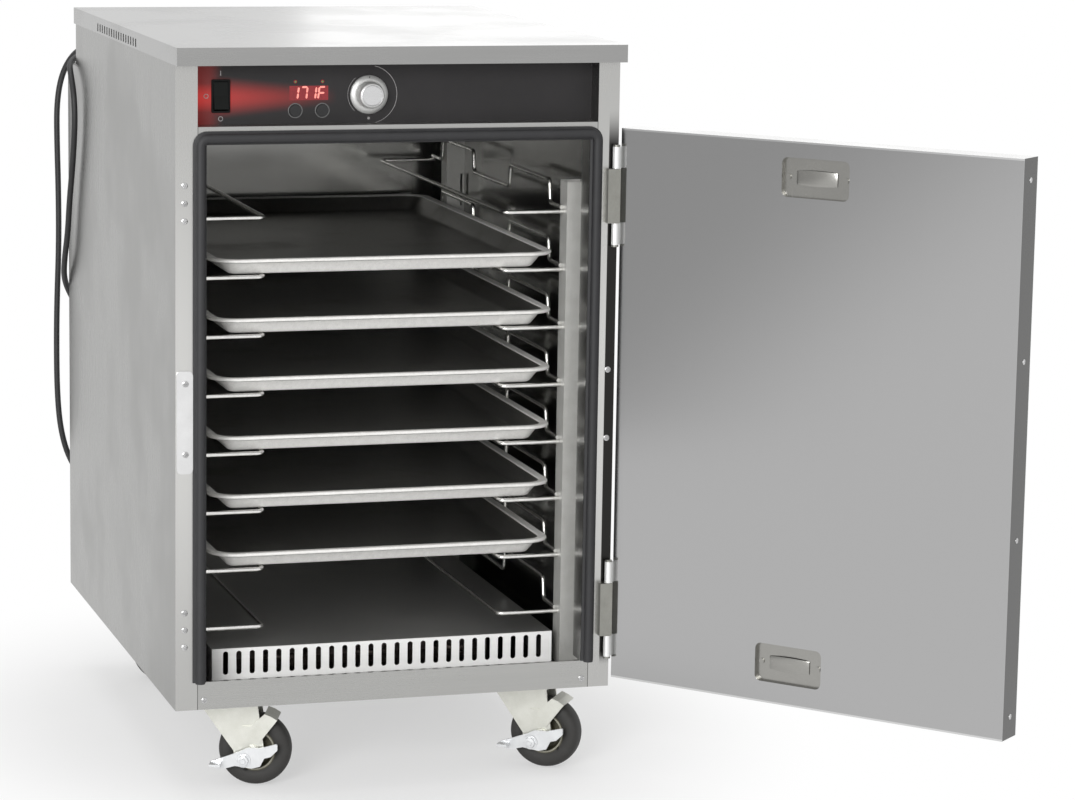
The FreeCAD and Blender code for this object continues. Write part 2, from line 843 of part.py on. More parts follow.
def controls():
    """Rocker switch, display, lamps, two press buttons, the knob and the board behind them."""
    rim = plate(about("rocker_x", "well_half_x + bezel_rim"), ("post_return - bezel_proud", "post_return"),
                about("control_height", "well_half_z + bezel_rim"), "bezel_corner")
    box = block(
        about("rocker_x", "well_half_x + bezel_wall"),
        ("post_return - bezel_proud", "post_return + bezel_depth"),
        about("control_height", "well_half_z + bezel_wall"),
    )
    well = block(about("rocker_x", "well_half_x"),
                 ("post_return - 2 * bezel_proud", "post_return + bezel_depth - bezel_wall"),
                 about("control_height", "well_half_z"))
    pin = rod(
        "x",
        "rocker_pin",
        about("rocker_x", "well_half_x + bezel_wall / 2"),
        y="post_return",
        z="control_height",
    )
    node("rocker_bezel", fuse(cut(fuse(rim, box), well), pin))
    key = extruded(
        "YZ_Plane",
        [
            ("-rocker_crest", "rocker_height / 2"),
            ("-rocker_valley", "0"),
            ("-rocker_crest", "-rocker_height / 2"),
            ("0", "-rocker_height / 2"),
            ("rocker_deep", "-rocker_keel"),
            ("rocker_deep", "rocker_keel"),
            ("0", "rocker_height / 2"),
        ],
        "rocker_width",
        middle=True,
    )
    bore = rod("x", "rocker_pin + shaft_room", across("rocker_width"))
    tilted = group(cut(key, bore))
    tilted.Placement = FreeCAD.Placement(Vector(), FreeCAD.Rotation(Vector(-1, 0, 0), size("rocker_angle")))
    bind(tilted, Placement__Rotation__Angle="rocker_angle")
    node("rocker_switch", tilted, x="rocker_x", y="post_return", z="control_height")
    screen = block(about("display_x", "display_width / 2"), ("post_return", "fascia_back + display_deep"),
                   about("display_z", "display_height / 2"))
    lamps = [rod("y", "lamp_radius", ("post_return - lamp_proud", "board_front"),
                 x="display_x %s lamp_spread" % sign, z="lamp_z") for sign in "+-"]
    node("display_module", screen, *lamps)
    for label, sign in (("button_left", "-"), ("button_right", "+")):
        cap = rod("y", "button_radius", ("post_return - button_proud", "fascia_back + button_deep"))
        collar = rod(
            "y",
            "button_collar",
            ("fascia_back + knob_gap", "fascia_back + knob_gap + button_collar_thick"),
        )
        node(label, fuse(cap, collar), x="display_x %s button_spread" % sign, z="button_z")
    skirt_front = "post_return - knob_gap - knob_skirt_thick"
    skirt = rod("y", "knob_skirt_radius", (skirt_front, "post_return - knob_gap"))
    grip = taper(
        "y",
        ("knob_face_radius", "knob_base_radius"),
        ("post_return - knob_gap - knob_length", skirt_front),
    )
    mark = block(across("pointer_width / 2"), (skirt_front + " - pointer_thick", skirt_front),
                 ("-knob_skirt_radius + pointer_width", "-knob_face_radius"))
    shaft = rod("y", "shaft_radius", ("post_return - knob_gap", "board_front - knob_gap"))
    node("control_knob", fuse(skirt, grip, mark, shaft), x="knob_x", z="control_height")
    board = block(about("board_x", "board_width / 2"), ("board_front", "board_front + board_thick"),
                  about("control_height", "board_height / 2"))
    posts = []
    for across_sign in "+-":
        for up_sign in "+-":
            posts.append(rod("y", "standoff_radius", ("fascia_back", "board_front"),
                             x="board_x %s (board_width / 2 - standoff_inset)" % across_sign,
                             z="control_height %s (board_height / 2 - standoff_inset)" % up_sign))
    encoder = cut(
        rod(
            "y",
            "encoder_radius",
            ("board_front - encoder_length", "board_front"),
            x="knob_x",
            z="control_height",
        ),
        rod(
            "y",
            "shaft_radius + shaft_room",
            ("board_front - 2 * encoder_length", "board_front - shaft_room"),
            x="knob_x",
            z="control_height",
        ),
    )
    switches = [
        rod(
            "y",
            "switch_radius",
            ("fascia_back + button_deep + button_travel + knob_gap", "board_front"),
            x="display_x %s button_spread" % sign,
            z="button_z",
        )
        for sign in "+-"
    ]
    relay = block(about("board_x - relay_shift", "relay_size / 2"),
                  ("board_front + board_thick", "board_front + board_thick + relay_size"),
                  about("control_height", "relay_size / 2"))
    node("control_board", board, encoder, relay, *posts, *switches)


def bent_wire(points, bend=None):
    """A path of straight runs joined by tangent arcs through a list of corners.

    Each arc has the given radius, or else the largest that 0.45 of its shorter run allows.
    Returns the wire, its length and the radii.
    """
    edges = []
    radii = []
    start = points[0]
    for before, corner, after in zip(points, points[1:], points[2:]):
        back = (before - corner).normalize()
        ahead = (after - corner).normalize()
        half_turn = (math.pi - back.getAngle(ahead)) / 2
        reach = 0.45 * min((before - corner).Length, (after - corner).Length)
        if bend:
            reach = bend * math.tan(half_turn)
        radius = reach / math.tan(half_turn)
        radii.append(radius)
        bisector = (back + ahead).normalize()
        entry = corner + back * reach
        leave = corner + ahead * reach
        crown = corner + bisector * (radius / math.cos(half_turn) - radius)
        edges.append(Part.LineSegment(start, entry).toShape())
        edges.append(Part.Arc(entry, crown, leave).toShape())
        start = leave
    edges.append(Part.LineSegment(start, points[-1]).toShape())
    wire = Part.Wire(edges)
    return wire, sum(edge.Length for edge in edges), radii


def tube(label, points, radius, bend=None):
    """A round tube along a bent path, its volume compared with its section times its length."""
    wire, length, radii = bent_wire(points, bend)
    ring = Part.Wire(Part.makeCircle(radius, points[0], points[1] - points[0]))
    solid = wire.makePipeShell([ring], True, False)
    share = solid.Volume / (math.pi * radius ** 2 * length)
    if abs(share - 1) > 0.002:
        raise RuntimeError("%s: volume is %.4f of section times length" % (label, share))
    return solid, length, radii


def tube_feature(label, points, radius, bend=None):
    """A tube as a piece of the document."""
    piece = doc.addObject("Part::Feature", "tube")
    piece.Shape = tube(label, points, radius, bend)[0]
    return piece


def guide_points():
    """Corners of the wavy guard wire beside a slide, which keeps a pan from straying sideways."""
    low = size("wire")
    high = low + size("guide_rise")
    slope = size("guide_slope")
    place = size("slide_front")
    rear = place_of("slide_rear")
    corners = [(place, low)]
    steps = [size(name) for name in ("guide_first_step", "guide_crest", "guide_dip", "guide_last_step")]
    for step, before, after in (
        (steps[0], low, high),
        (steps[1], high, low),
        (steps[2], low, high),
        (rear - place - sum(steps), high, low),
    ):
        place += step
        corners.append((place - slope / 2, before))
        corners.append((place + slope / 2, after))
    corners.append((rear, low))
    return [Vector(0, place, rise) for place, rise in corners]


def slides():
    """Four slotted uprights and eight pairs of wire slides."""
    channels = []
    for front in ("front_upright", "rear_upright"):
        outer = block(("upright_face", "cavity_half"), (front, front + " + upright_breadth"),
                      ("cavity_floor", "cavity_floor + upright_height"))
        inner = block(("upright_face + upright_sheet", "cavity_half + liner"),
                      (front + " + upright_sheet", front + " + upright_breadth - upright_sheet"),
                      ("cavity_floor - liner", "cavity_floor + upright_height + liner"))
        keyholes = [
            block(
                ("cavity_half - 2 * keyhole_width", "cavity_half - keyhole_width"),
                (front + " - upright_sheet", front + " + 2 * upright_sheet"),
                about(height, "keyhole_height / 2"),
            )
            for height in ("cavity_floor + upright_height - keyhole_drop", "cavity_floor + keyhole_drop")
        ]
        channels.append(cut(outer, inner, *keyholes))
    node("slide_uprights", *channels, *[mirrored(channel) for channel in channels])
    inner, outer = place_of("runner_x"), place_of("upright_face")
    front, rear = size("slide_front"), place_of("slide_rear")
    hoop = [Vector(x, y, 0) for x, y in ((outer, front), (inner, front), (inner, rear), (outer, rear))]
    runner = tube_feature("runner", hoop, size("wire") / 2, size("runner_bend"))
    guide = put(tube_feature("guide", guide_points(), size("wire") / 2, size("guide_bend")), x="guide_x")
    level = group(runner, guide)
    right = [copy_at(level, z="slide_top - %d * slide_pitch" % k) for k in range(int(size("slide_count")))]
    node("tray_slides_right", *right)
    node("tray_slides_left", mirrored(group(*right)))


def dish(inset, base, top, corner):
    """A block with rounded corners and sides that lean outwards from the pan's bottom."""
    half_x = "(pan_width / 2 - pan_lip - pan_flare - (%s))" % inset
    half_y = "(pan_length / 2 - pan_lip - pan_flare - (%s))" % inset
    corners = [("-" + half_x, "-" + half_y), (half_x, "-" + half_y), (half_x, half_y), ("-" + half_x, half_y)]
    body = extruded("XY_Plane", corners, "(%s) - (%s)" % (top, base))
    rounded(body, corner, lambda edge: runs_along(edge, Vector(0, 0, 1)))
    leaned(body, "atan(pan_flare / pan_height)")
    return copy_at(body, z=base)


def pans():
    """Six sheet pans with flared sides and a rolled rim, each on its own pair of slides."""
    cup = dish("0", "0", "pan_height", "pan_corner")
    hollow = dish("pan_sheet", "pan_sheet", "pan_height + pan_sheet", "pan_corner - pan_sheet")
    rim = extruded("XY_Plane", [("-pan_width / 2", "-pan_length / 2"), ("pan_width / 2", "-pan_length / 2"),
                                ("pan_width / 2", "pan_length / 2"), ("-pan_width / 2", "pan_length / 2")],
                   "pan_lip_height")
    rounded(rim, "pan_corner + pan_flare + pan_lip", lambda edge: runs_along(edge, Vector(0, 0, 1)))
    pan = cut(fuse(cup, copy_at(rim, z="pan_height - pan_lip_height")), hollow)
    for k in range(int(size("pan_count"))):
        node("sheet_pan_%d" % (k + 1), pan, y="pan_middle",
             z="slide_top - (pan_first_level + %d) * slide_pitch + pan_base" % k)


def heating():
    """Slotted cover over the element in the cavity's floor, the element on two bars, and a probe."""
    outer = block(
        across("hood_half"), ("hood_front", "cavity_back"), ("cavity_floor", "cavity_floor + hood_height")
    )
    inner = block(across("hood_half - hood_sheet"), ("hood_front + hood_sheet", "cavity_back + hood_sheet"),
                  ("cavity_floor - hood_sheet", "cavity_floor + hood_height - hood_sheet"))
    top = "cavity_floor + hood_height - slot_drop"
    slot = plate(across("slot_width / 2"), ("hood_front - hood_sheet", "hood_front + 2 * hood_sheet"),
                 (top + " - slot_height", top), "slot_round")
    count = int(2 * (place_of("hood_half") - size("slot_margin")) / size("slot_pitch")) + 1
    slots = [copy_at(slot, x="(%d - %d / 2) * slot_pitch" % (k, count - 1)) for k in range(count)]
    node("heat_cover", cut(outer, inner, *slots))
    passes = int(size("element_passes"))
    back = place_of("cavity_back")
    corners = []
    for k in range(passes):
        x = (k - (passes - 1) / 2) * size("element_pass")
        ends = [place_of("element_end"), size("element_start")]
        if k == 0:
            ends[0] = back
        if k % 2:
            ends.reverse()
        if k == passes - 1:
            ends[1] = back
        corners += [Vector(x, ends[0], 0), Vector(x, ends[1], 0)]
    coil = tube_feature("element", corners, size("element_radius"), 0.45 * size("element_pass"))
    put(coil, z="cavity_floor + element_height")
    bars = [block(across("hood_half - bar_end_gap"), (place, place + " + element_bar"),
                  ("cavity_floor", "cavity_floor + element_height - element_radius"))
            for place in ("element_start + bar_inset", "element_end - bar_inset - element_bar")]
    node("heating_element", coil, *bars)
    stem = rod("y", "probe_radius", ("cavity_back - probe_length", "cavity_back"), z="probe_height")
    flange = rod("y", "probe_flange", ("cavity_back - probe_flange_thick", "cavity_back"), z="probe_height")
    node("temperature_probe", fuse(stem, flange))


VENTS = (("upper_vent_shift", "upper_vent"), ("lower_vent_shift", "lower_vent"))


def vent_passages():
    """Air ways through the door behind each vent, two beside its rivet."""
    ways = []
    for shift, height in VENTS:
        for sign in "+-":
            ways.append(
                block(
                    about(
                        "%s %s (passage_start + passage_width / 2)" % (shift, sign), "passage_width / 2"
                    ),
                    ("door_front - skin", "vent_floor + vent_sheet"),
                    about(height, "passage_height / 2"),
                )
            )
    return ways


def vent_blocks(spread, y, corner):
    """Rounded blocks in the place of the two vents, grown by a spread all round."""
    return [plate(about(shift, "vent_width / 2 + (%s)" % spread), y,
                  about(height, "vent_height / 2 + (%s)" % spread), corner) for shift, height in VENTS]


def door():
    """Insulated door with two pressed vents, a handle and its half of the hinges."""
    outer = block(across("door_half"), ("door_front", "panel_back"), ("door_bottom", "door_top"))
    hollow = block(
        across("door_half - skin"),
        ("door_front + skin", "door_back"),
        ("door_bottom + skin", "door_top - skin"),
    )
    door_node("door_outer_pan", cut(outer, hollow, *vent_passages()))
    panel = block(across("door_half"), ("panel_back", "door_back"), ("door_bottom", "door_top"))
    door_node(
        "door_inner_panel",
        cut(panel, *vent_blocks("0", ("panel_back - skin", "door_back + skin"), "vent_corner")),
    )
    trays = vent_blocks("vent_sheet", ("vent_floor - vent_sheet", "panel_back"), "vent_corner + vent_sheet")
    sinks = vent_blocks("0", ("vent_floor", "door_back"), "vent_corner")
    pressed = [cut(tray, sink, *vent_passages()) for tray, sink in zip(trays, sinks)]
    fixings = []
    for shift, height in VENTS:
        stem = rod("y", "rivet_radius", ("vent_floor", "damper_face + damper_gap"), x=shift, z=height)
        head = rod(
            "y",
            "rivet_head",
            ("damper_face + damper_gap", "damper_face + damper_gap + rivet_head_thick"),
            x=shift,
            z=height,
        )
        fixings.append(fuse(stem, head))
        for sign in "+-":
            fixings.append(rod("y", "edge_screw_radius", ("vent_floor", "vent_floor + screw_head"),
                               x="%s %s vent_screw_spread" % (shift, sign), z=height))
    door_node("vent_plates", *pressed, *fixings)
    for label, (shift, height) in zip(("vent_damper_upper", "vent_damper_lower"), VENTS):
        strip = block(about(shift, "damper_length / 2"), ("damper_face - damper_thick", "damper_face"),
                      about(height, "damper_height / 2"))
        eye = rod("y", "rivet_radius + rivet_room", ("vent_floor", "door_back"), x=shift, z=height)
        door_node(label, cut(strip, eye))
    magnet = magnet_block()
    fill = block(
        across("door_half - skin"),
        ("door_front + skin", "panel_back"),
        ("door_bottom + skin", "door_top - skin"),
    )
    room = vent_blocks("vent_sheet", ("vent_floor - vent_sheet", "door_back"), "vent_corner + vent_sheet")
    door_node("door_insulation", cut(fill, *room, *vent_passages(), magnet))
    door_node("latch_magnet", magnet_block())
    door_node("door_handle", handle())
    run = "door_top - door_bottom - 2 * edge_screw_inset"
    screws = [
        rod(
            "x",
            "edge_screw_radius",
            ("-door_half - edge_screw_head", "-door_half"),
            y="door_back - edge_screw_in",
            z="door_top - edge_screw_inset - %d * (%s) / (edge_screw_count - 1)" % (k, run),
        )
        for k in range(int(size("edge_screw_count")))
    ]
    door_node("door_screws", *screws)


def magnet_block():
    """The latch magnet behind the door's inner panel, facing the strike plate."""
    return block(
        ("-door_half + skin", "-door_half + skin + magnet_width"),
        ("panel_back - magnet_thick", "panel_back"),
        about("strike_middle", "magnet_length / 2"),
    )


def handle():
    """Upright pull on the outside of the door, near its free edge."""
    top = "handle_height + handle_length / 2"
    foot = "handle_height - handle_length / 2"
    grip = "door_front - handle_stand"
    body = extruded(
        "YZ_Plane",
        [
            ("door_front", foot),
            (grip, foot),
            (grip, top),
            ("door_front", top),
            ("door_front", top + " - handle_foot"),
            (grip + " + handle_bar", top + " - handle_foot"),
            (grip + " + handle_bar", foot + " + handle_foot"),
            ("door_front", foot + " + handle_foot"),
        ],
        "handle_width",
    )
    doc.recompute()
    proud = body.Shape.BoundBox.YMin
    rounded(
        body,
        "handle_round",
        lambda edge: runs_along(edge, Vector(1, 0, 0)) and abs(edge.CenterOfMass.y - proud) < 1e-6,
    )
    return copy_at(body, x="handle_inset - door_half")


def hinges():
    """Two knuckle hinges: leaves and pins on the post, leaves with two knuckles each on the door."""
    fixed = []
    moving = []
    for height in ("upper_hinge", "lower_hinge"):
        leaf = block(
            ("half_width - leaf_width", "half_width"),
            ("pin_y - knuckle_radius", "0"),
            about(height, "knuckle_middle / 2"),
        )
        tall = "knuckle_middle / 2 + knuckle_gap + knuckle_end + knuckle_gap"
        pin = rod("z", "pin_radius", about(height, tall), x="pin_x", y="pin_y")
        caps = [
            rod(
                "z",
                "knuckle_radius",
                ("%s + %s" % (height, tall), "%s + %s + leaf_thick" % (height, tall)),
                x="pin_x",
                y="pin_y",
            ),
            rod(
                "z",
                "knuckle_radius",
                ("%s - (%s) - leaf_thick" % (height, tall), "%s - (%s)" % (height, tall)),
                x="pin_x",
                y="pin_y",
            ),
        ]
        fixed.append(fuse(leaf, pin, *caps))
        reach = "knuckle_middle / 2 + knuckle_gap"
        flap = block(("door_half", "door_half + door_leaf_thick"),
                     ("door_back - door_leaf_width", "pin_y - knuckle_radius - 2 * leaf_thick"),
                     about(height, reach + " + knuckle_end"))
        knuckles = []
        for low, high in (("%s + %s" % (height, reach), "%s + %s + knuckle_end" % (height, reach)),
                          ("%s - (%s) - knuckle_end" % (height, reach), "%s - (%s)" % (height, reach))):
            knuckles.append(rod("z", "knuckle_radius", (low, high), x="pin_x", y="pin_y"))
            knuckles.append(block(("door_half", "door_half + door_leaf_thick"),
                                  ("pin_y - knuckle_radius - 2 * leaf_thick", "pin_y"), (low, high)))
        bore = rod("z", "pin_radius + pin_room", about(height, tall), x="pin_x", y="pin_y")
        moving.append(cut(fuse(flap, *knuckles), bore))
    node("hinge_post_leaves", *fixed)
    door_node("hinge_door_leaves", *moving)


def fasteners():
    """Strike plate for the latch, and the screws, plugs and rivets on the front."""
    node("strike_plate", plate(("strike_edge - half_width", "-throat_half - gasket_width - strike_gap"),
                               ("-strike_thick", "0"), about("strike_middle", "strike_height / 2"),
                               "strike_round"))
    heads = []
    for hinge in ("upper_hinge", "lower_hinge"):
        for step in (-1, 0, 1):
            heads.append(rod("y", "screw_radius", ("-screw_head", "0"), x="post_screw_inset - half_width",
                             z="%s + %d * post_screw_pitch" % (hinge, step)))
    for sign in "+-":
        height = "strike_middle + strike_screw_rise %s strike_screw_spread" % sign
        heads.append(rod("y", "screw_radius", ("-strike_thick - screw_head", "-strike_thick"),
                         x="strike_screw_inset - half_width", z=height))
        heads.append(rod("y", "screw_radius", ("-screw_head", "0"), x="half_width - plug_inset", z=height))
        heads.append(
            rod(
                "y",
                "screw_radius",
                ("-screw_head", "0"),
                x="%s1 * (post_inner - rivet_inset)" % sign,
                z="base_height + rivet_height",
            )
        )
    node("frame_screws", *heads)


CASTORS = (
    ("front_left", "-castor_x", "castor_inset"),
    ("front_right", "castor_x", "castor_inset"),
    ("rear_left", "-castor_x", "body_depth - castor_inset"),
    ("rear_right", "castor_x", "body_depth - castor_inset"),
)


def bolt_places():
    """Offsets of the four bolts of a castor's plate."""
    return [("%s1 * castor_bolt_x / 2" % a, "%s1 * castor_bolt_y / 2" % b) for a in "+-" for b in "+-"]


def castor_holes():
    """Bolt holes for the four castors through the bottom panel."""
    return [rod("z", "castor_bolt_radius", ("base_height - skin", "base_height + 2 * skin"),
                x="%s + %s" % (place_x, dx), y="%s + %s" % (place_y, dy))
            for corner, place_x, place_y in CASTORS for dx, dy in bolt_places()]


def castors():
    """Four swivel castors with flat forks; the front two have a foot brake."""
    channels = []
    for place in ("castor_inset", "body_depth - castor_inset"):
        outer = block(across("inner_half"), about(place, "channel_width / 2"),
                      ("base_height + skin", "base_height + skin + channel_height"))
        inner = block(across("inner_half + skin"), about(place, "channel_width / 2 - channel_sheet"),
                      ("base_height", "base_height + skin + channel_height - channel_sheet"))
        channels.append(cut(outer, inner))
    node("base_channels", *channels)
    top = block(across("castor_plate_x / 2"), across("castor_plate_y / 2"), ("plate_under", "base_height"))
    holes = [
        rod("z", "castor_bolt_radius", ("race_under", "base_height + skin"), x=dx, y=dy)
        for dx, dy in bolt_places()
    ]
    race = rod("z", "race_radius", ("race_under", "plate_under"))
    head_top = "fork_top - fork_sheet - race_gap"
    pin = rod("z", "kingpin_radius", (head_top + " - kingpin_head_thick", "race_under"))
    head = rod("z", "kingpin_head", (head_top + " - kingpin_head_thick", head_top))
    mount = fuse(cut(top, *holes), race, pin, head)
    bolts = []
    for dx, dy in bolt_places():
        shank = rod(
            "z",
            "castor_bolt_radius",
            ("plate_under", "base_height + skin + castor_nut_thick + castor_bolt_spare"),
            x=dx,
            y=dy,
        )
        cap = rod("z", "castor_bolt_head", ("plate_under - castor_bolt_thick", "plate_under"), x=dx, y=dy)
        nut = rod(
            "z",
            "castor_bolt_head",
            ("base_height + skin", "base_height + skin + castor_nut_thick"),
            x=dx,
            y=dy,
        )
        bolts.append(fuse(shank, cap, nut))
    node(
        "caster_mounts",
        *[copy_at(group(mount, *bolts), x=place_x, y=place_y) for corner, place_x, place_y in CASTORS],
    )
    leg = extruded(
        "XZ_Plane",
        [
            ("-fork_top_length / 2", "fork_top"),
            ("fork_top_length / 2", "fork_top"),
            ("trail + fork_tip", "wheel_radius"),
            ("trail + fork_tip_flat", "wheel_radius - fork_tip"),
            ("trail - fork_tip_flat", "wheel_radius - fork_tip"),
            ("trail - fork_heel", "wheel_radius - fork_tip_flat"),
            ("trail - fork_heel", "wheel_radius"),
        ],
        "fork_sheet",
    )
    bridge = block(across("fork_top_length / 2"), across("leg_outer"), ("fork_top - fork_sheet", "fork_top"))
    king_hole = rod(
        "z", "kingpin_radius + kingpin_room", ("fork_top - 2 * fork_sheet", "fork_top + fork_sheet")
    )
    axle_hole = rod("y", "axle_radius", across("leg_outer + fork_sheet"), x="trail", z="wheel_radius")
    fork = cut(fuse(copy_at(leg, y="leg_outer"), copy_at(leg, y="-leg_inner"), bridge), king_hole, axle_hole)
    shaft = rod("y", "axle_radius", across("leg_outer"), x="trail", z="wheel_radius")
    ends = [
        rod("y", "axle_head", span, x="trail", z="wheel_radius")
        for span in (
            ("leg_outer", "leg_outer + axle_head_thick"),
            ("-leg_outer - axle_head_thick", "-leg_outer"),
        )
    ]
    axle = fuse(shaft, *ends)
    stud_tip = "lever_back + lever_thick + race_gap"
    stud = fuse(
        rod("y", "pivot_radius", ("-(%s)" % stud_tip, "-leg_outer"), x="pivot_x", z="pivot_z"),
        rod(
            "y",
            "pivot_head",
            ("-(%s) - pivot_head_thick" % stud_tip, "-(%s)" % stud_tip),
            x="pivot_x",
            z="pivot_z",
        ),
    )
    tyre, hub = wheel()
    shoe = brake_shoe()
    lever = brake_lever()
    for corner, place_x, place_y in CASTORS:
        place = {"x": place_x, "y": place_y, "turn": corner + "_angle"}
        braked = corner.startswith("front")
        node("caster_fork_" + corner, fork, axle, *([stud, shoe] if braked else []), **place)
        node("caster_wheel_" + corner, tyre, hub, **place)
        if braked:
            node("brake_lever_" + corner, lever, **place)


def on_axle(source):
    """A piece turned about the upright axis, laid over onto the castor's axle."""
    piece = group(source)
    piece.Placement = FreeCAD.Placement(Vector(), TURNS["y"])
    return put(piece, "trail", "0", "wheel_radius")


def wheel():
    """Soft tyre and the rim, web and hub inside it."""
    tyre = turned([("rim_radius", "-tyre_width / 2"), ("wheel_radius", "-tyre_width / 2"),
                   ("wheel_radius", "tyre_width / 2"), ("rim_radius", "tyre_width / 2")])
    doc.recompute()
    widest = size("wheel_radius")
    rounded(
        tyre,
        "tyre_shoulder",
        lambda edge: isinstance(edge.Curve, Part.Circle) and abs(edge.Curve.Radius - widest) < 1e-6,
    )
    bore = "axle_radius + axle_room"
    half = "leg_inner - hub_room"
    inner = "rim_radius - rim_wall"
    hub = turned([
        (bore, "-(%s)" % half), ("hub_radius", "-(%s)" % half), ("hub_radius", "-web_thick / 2"),
        (inner, "-web_thick / 2"), (inner, "-rim_width / 2"), ("rim_radius", "-rim_width / 2"),
        ("rim_radius", "rim_width / 2"), (inner, "rim_width / 2"), (inner, "web_thick / 2"),
        ("hub_radius", "web_thick / 2"), ("hub_radius", half), (bore, half),
    ])
    return on_axle(tyre), on_axle(hub)


def over_wheel(radius, turn):
    """A point at a radius from the castor's axle, turned up from the level by an angle."""
    return ("trail + (%s) * cos(%s)" % (radius, turn), "wheel_radius + (%s) * sin(%s)" % (radius, turn))


def brake_shoe():
    """Bent shoe over a front tyre's tread, on a bracket that stands on the fork's outer leg."""
    turns = (
        "shoe_start_angle",
        "shoe_start_angle + shoe_sweep_angle / 2",
        "shoe_start_angle + shoe_sweep_angle",
    )
    under = [over_wheel("wheel_radius + shoe_gap", turn) for turn in turns]
    over = [over_wheel("wheel_radius + shoe_gap + shoe_thick", turn) for turn in turns]
    shoe = extruded("XZ_Plane", under + over[::-1], "2 * leg_outer + bracket_sheet")
    bracket = extruded(
        "XZ_Plane",
        [
            ("trail - bracket_half", "wheel_radius + bracket_foot"),
            ("trail + bracket_waist", "wheel_radius + bracket_foot"),
            *over,
            ("trail - bracket_waist / 2", "wheel_radius + bracket_rise"),
            ("trail - bracket_half", "wheel_radius + bracket_rise"),
        ],
        "bracket_sheet",
    )
    return fuse(copy_at(shoe, y="leg_outer"), copy_at(bracket, y="-leg_outer"))


def brake_lever():
    """Rocking foot lever on the outside of a front fork, with its pedal at the toe."""
    arm = extruded(
        "XZ_Plane",
        [
            ("trail - toe_reach", "wheel_radius - toe_drop"),
            ("trail - toe_reach", "wheel_radius - toe_drop - toe_depth / 2"),
            ("trail - toe_reach + toe_depth", "wheel_radius - toe_drop - toe_depth"),
            ("trail - toe_reach + 2 * toe_depth", "wheel_radius - toe_drop - toe_depth"),
            ("pivot_x - boss_half", "pivot_z - boss_half + lever_thick"),
            ("pivot_x + boss_half", "pivot_z - boss_half"),
            ("pivot_x + belly_reach", "pivot_z - boss_half + lever_thick"),
            ("pivot_x + belly_reach + boss_half / 2", "pivot_z + lever_thick"),
            ("trail + heel_reach - heel_depth", "wheel_radius + heel_rise - 2 * heel_depth"),
            ("trail + heel_reach", "wheel_radius + heel_rise - heel_depth"),
            ("trail + heel_reach", "wheel_radius + heel_rise"),
            ("pivot_x + belly_reach", "wheel_radius + heel_rise / 2"),
            ("pivot_x + boss_half / 2", "wheel_radius + heel_rise / 2"),
            ("pivot_x - boss_half / 2", "pivot_z + boss_half"),
        ],
        "lever_thick",
    )
    rounded(arm, "lever_round", lambda edge: runs_along(edge, Vector(0, 1, 0)))
    pedal = block(("trail - toe_reach", "trail - toe_reach + pedal_length"),
                  ("-lever_back - lever_thick - pedal_depth", "-lever_back"),
                  ("wheel_radius - toe_drop - lever_thick", "wheel_radius - toe_drop"))
    eye = rod(
        "y",
        "pivot_radius + pivot_room",
        ("-lever_back - 2 * lever_thick", "-lever_back + lever_thick"),
        x="pivot_x",
        z="pivot_z",
    )
    return cut(fuse(copy_at(arm, y="-lever_back"), pedal), eye)


# The cord's way from the gland, down past the rear corner, up again behind, over the ledge and
# down the side to the plug, which hangs behind the cabinet
CORD_ROUTE = (
    (-258.0, 726.0, 914.0),
    (-258.5, 750.0, 913.0),
    (-265.0, 775.0, 905.0),
    (-280.0, 796.0, 888.0),
    (-292.0, 806.0, 860.0),
    (-298.5, 807.0, 820.0),
    (-298.5, 806.0, 765.0),
    (-297.0, 805.0, 695.0),
    (-297.0, 804.0, 615.0),
    (-300.0, 806.0, 530.0),
    (-301.0, 806.0, 460.0),
    (-300.0, 807.0, 395.0),
    (-296.0, 806.0, 345.0),
    (-285.0, 807.0, 303.0),
    (-264.0, 809.0, 268.0),
    (-232.0, 809.0, 247.0),
    (-196.0, 808.0, 255.0),
    (-170.0, 806.0, 285.0),
    (-157.0, 803.0, 335.0),
    (-154.0, 797.0, 410.0),
    (-158.0, 791.0, 510.0),
    (-156.0, 788.0, 615.0),
    (-161.0, 788.0, 715.0),
    (-167.0, 789.0, 790.0),
    (-180.0, 788.0, 842.0),
    (-200.0, 786.0, 880.0),
    (-226.0, 774.0, 902.0),
    (-252.0, 754.0, 902.0),
    (-276.0, 734.0, 898.0),
    (-297.0, 710.0, 888.0),
    (-299.5, 683.0, 873.0),
    (-299.0, 662.0, 848.0),
    (-298.0, 660.0, 813.0),
    (-298.0, 669.0, 775.0),
    (-298.0, 686.0, 733.0),
    (-298.5, 705.0, 690.0),
    (-298.5, 719.0, 645.0),
    (-299.5, 742.0, 604.0),
    (-296.0, 771.0, 570.0),
    (-280.0, 791.0, 538.0),
    (-257.0, 797.0, 503.0),
    (-238.0, 798.0, 463.0),
    (-228.0, 797.0, 420.0),
    (-226.0, 797.0, 385.0),
    (-226.0, 797.0, 360.0),
)


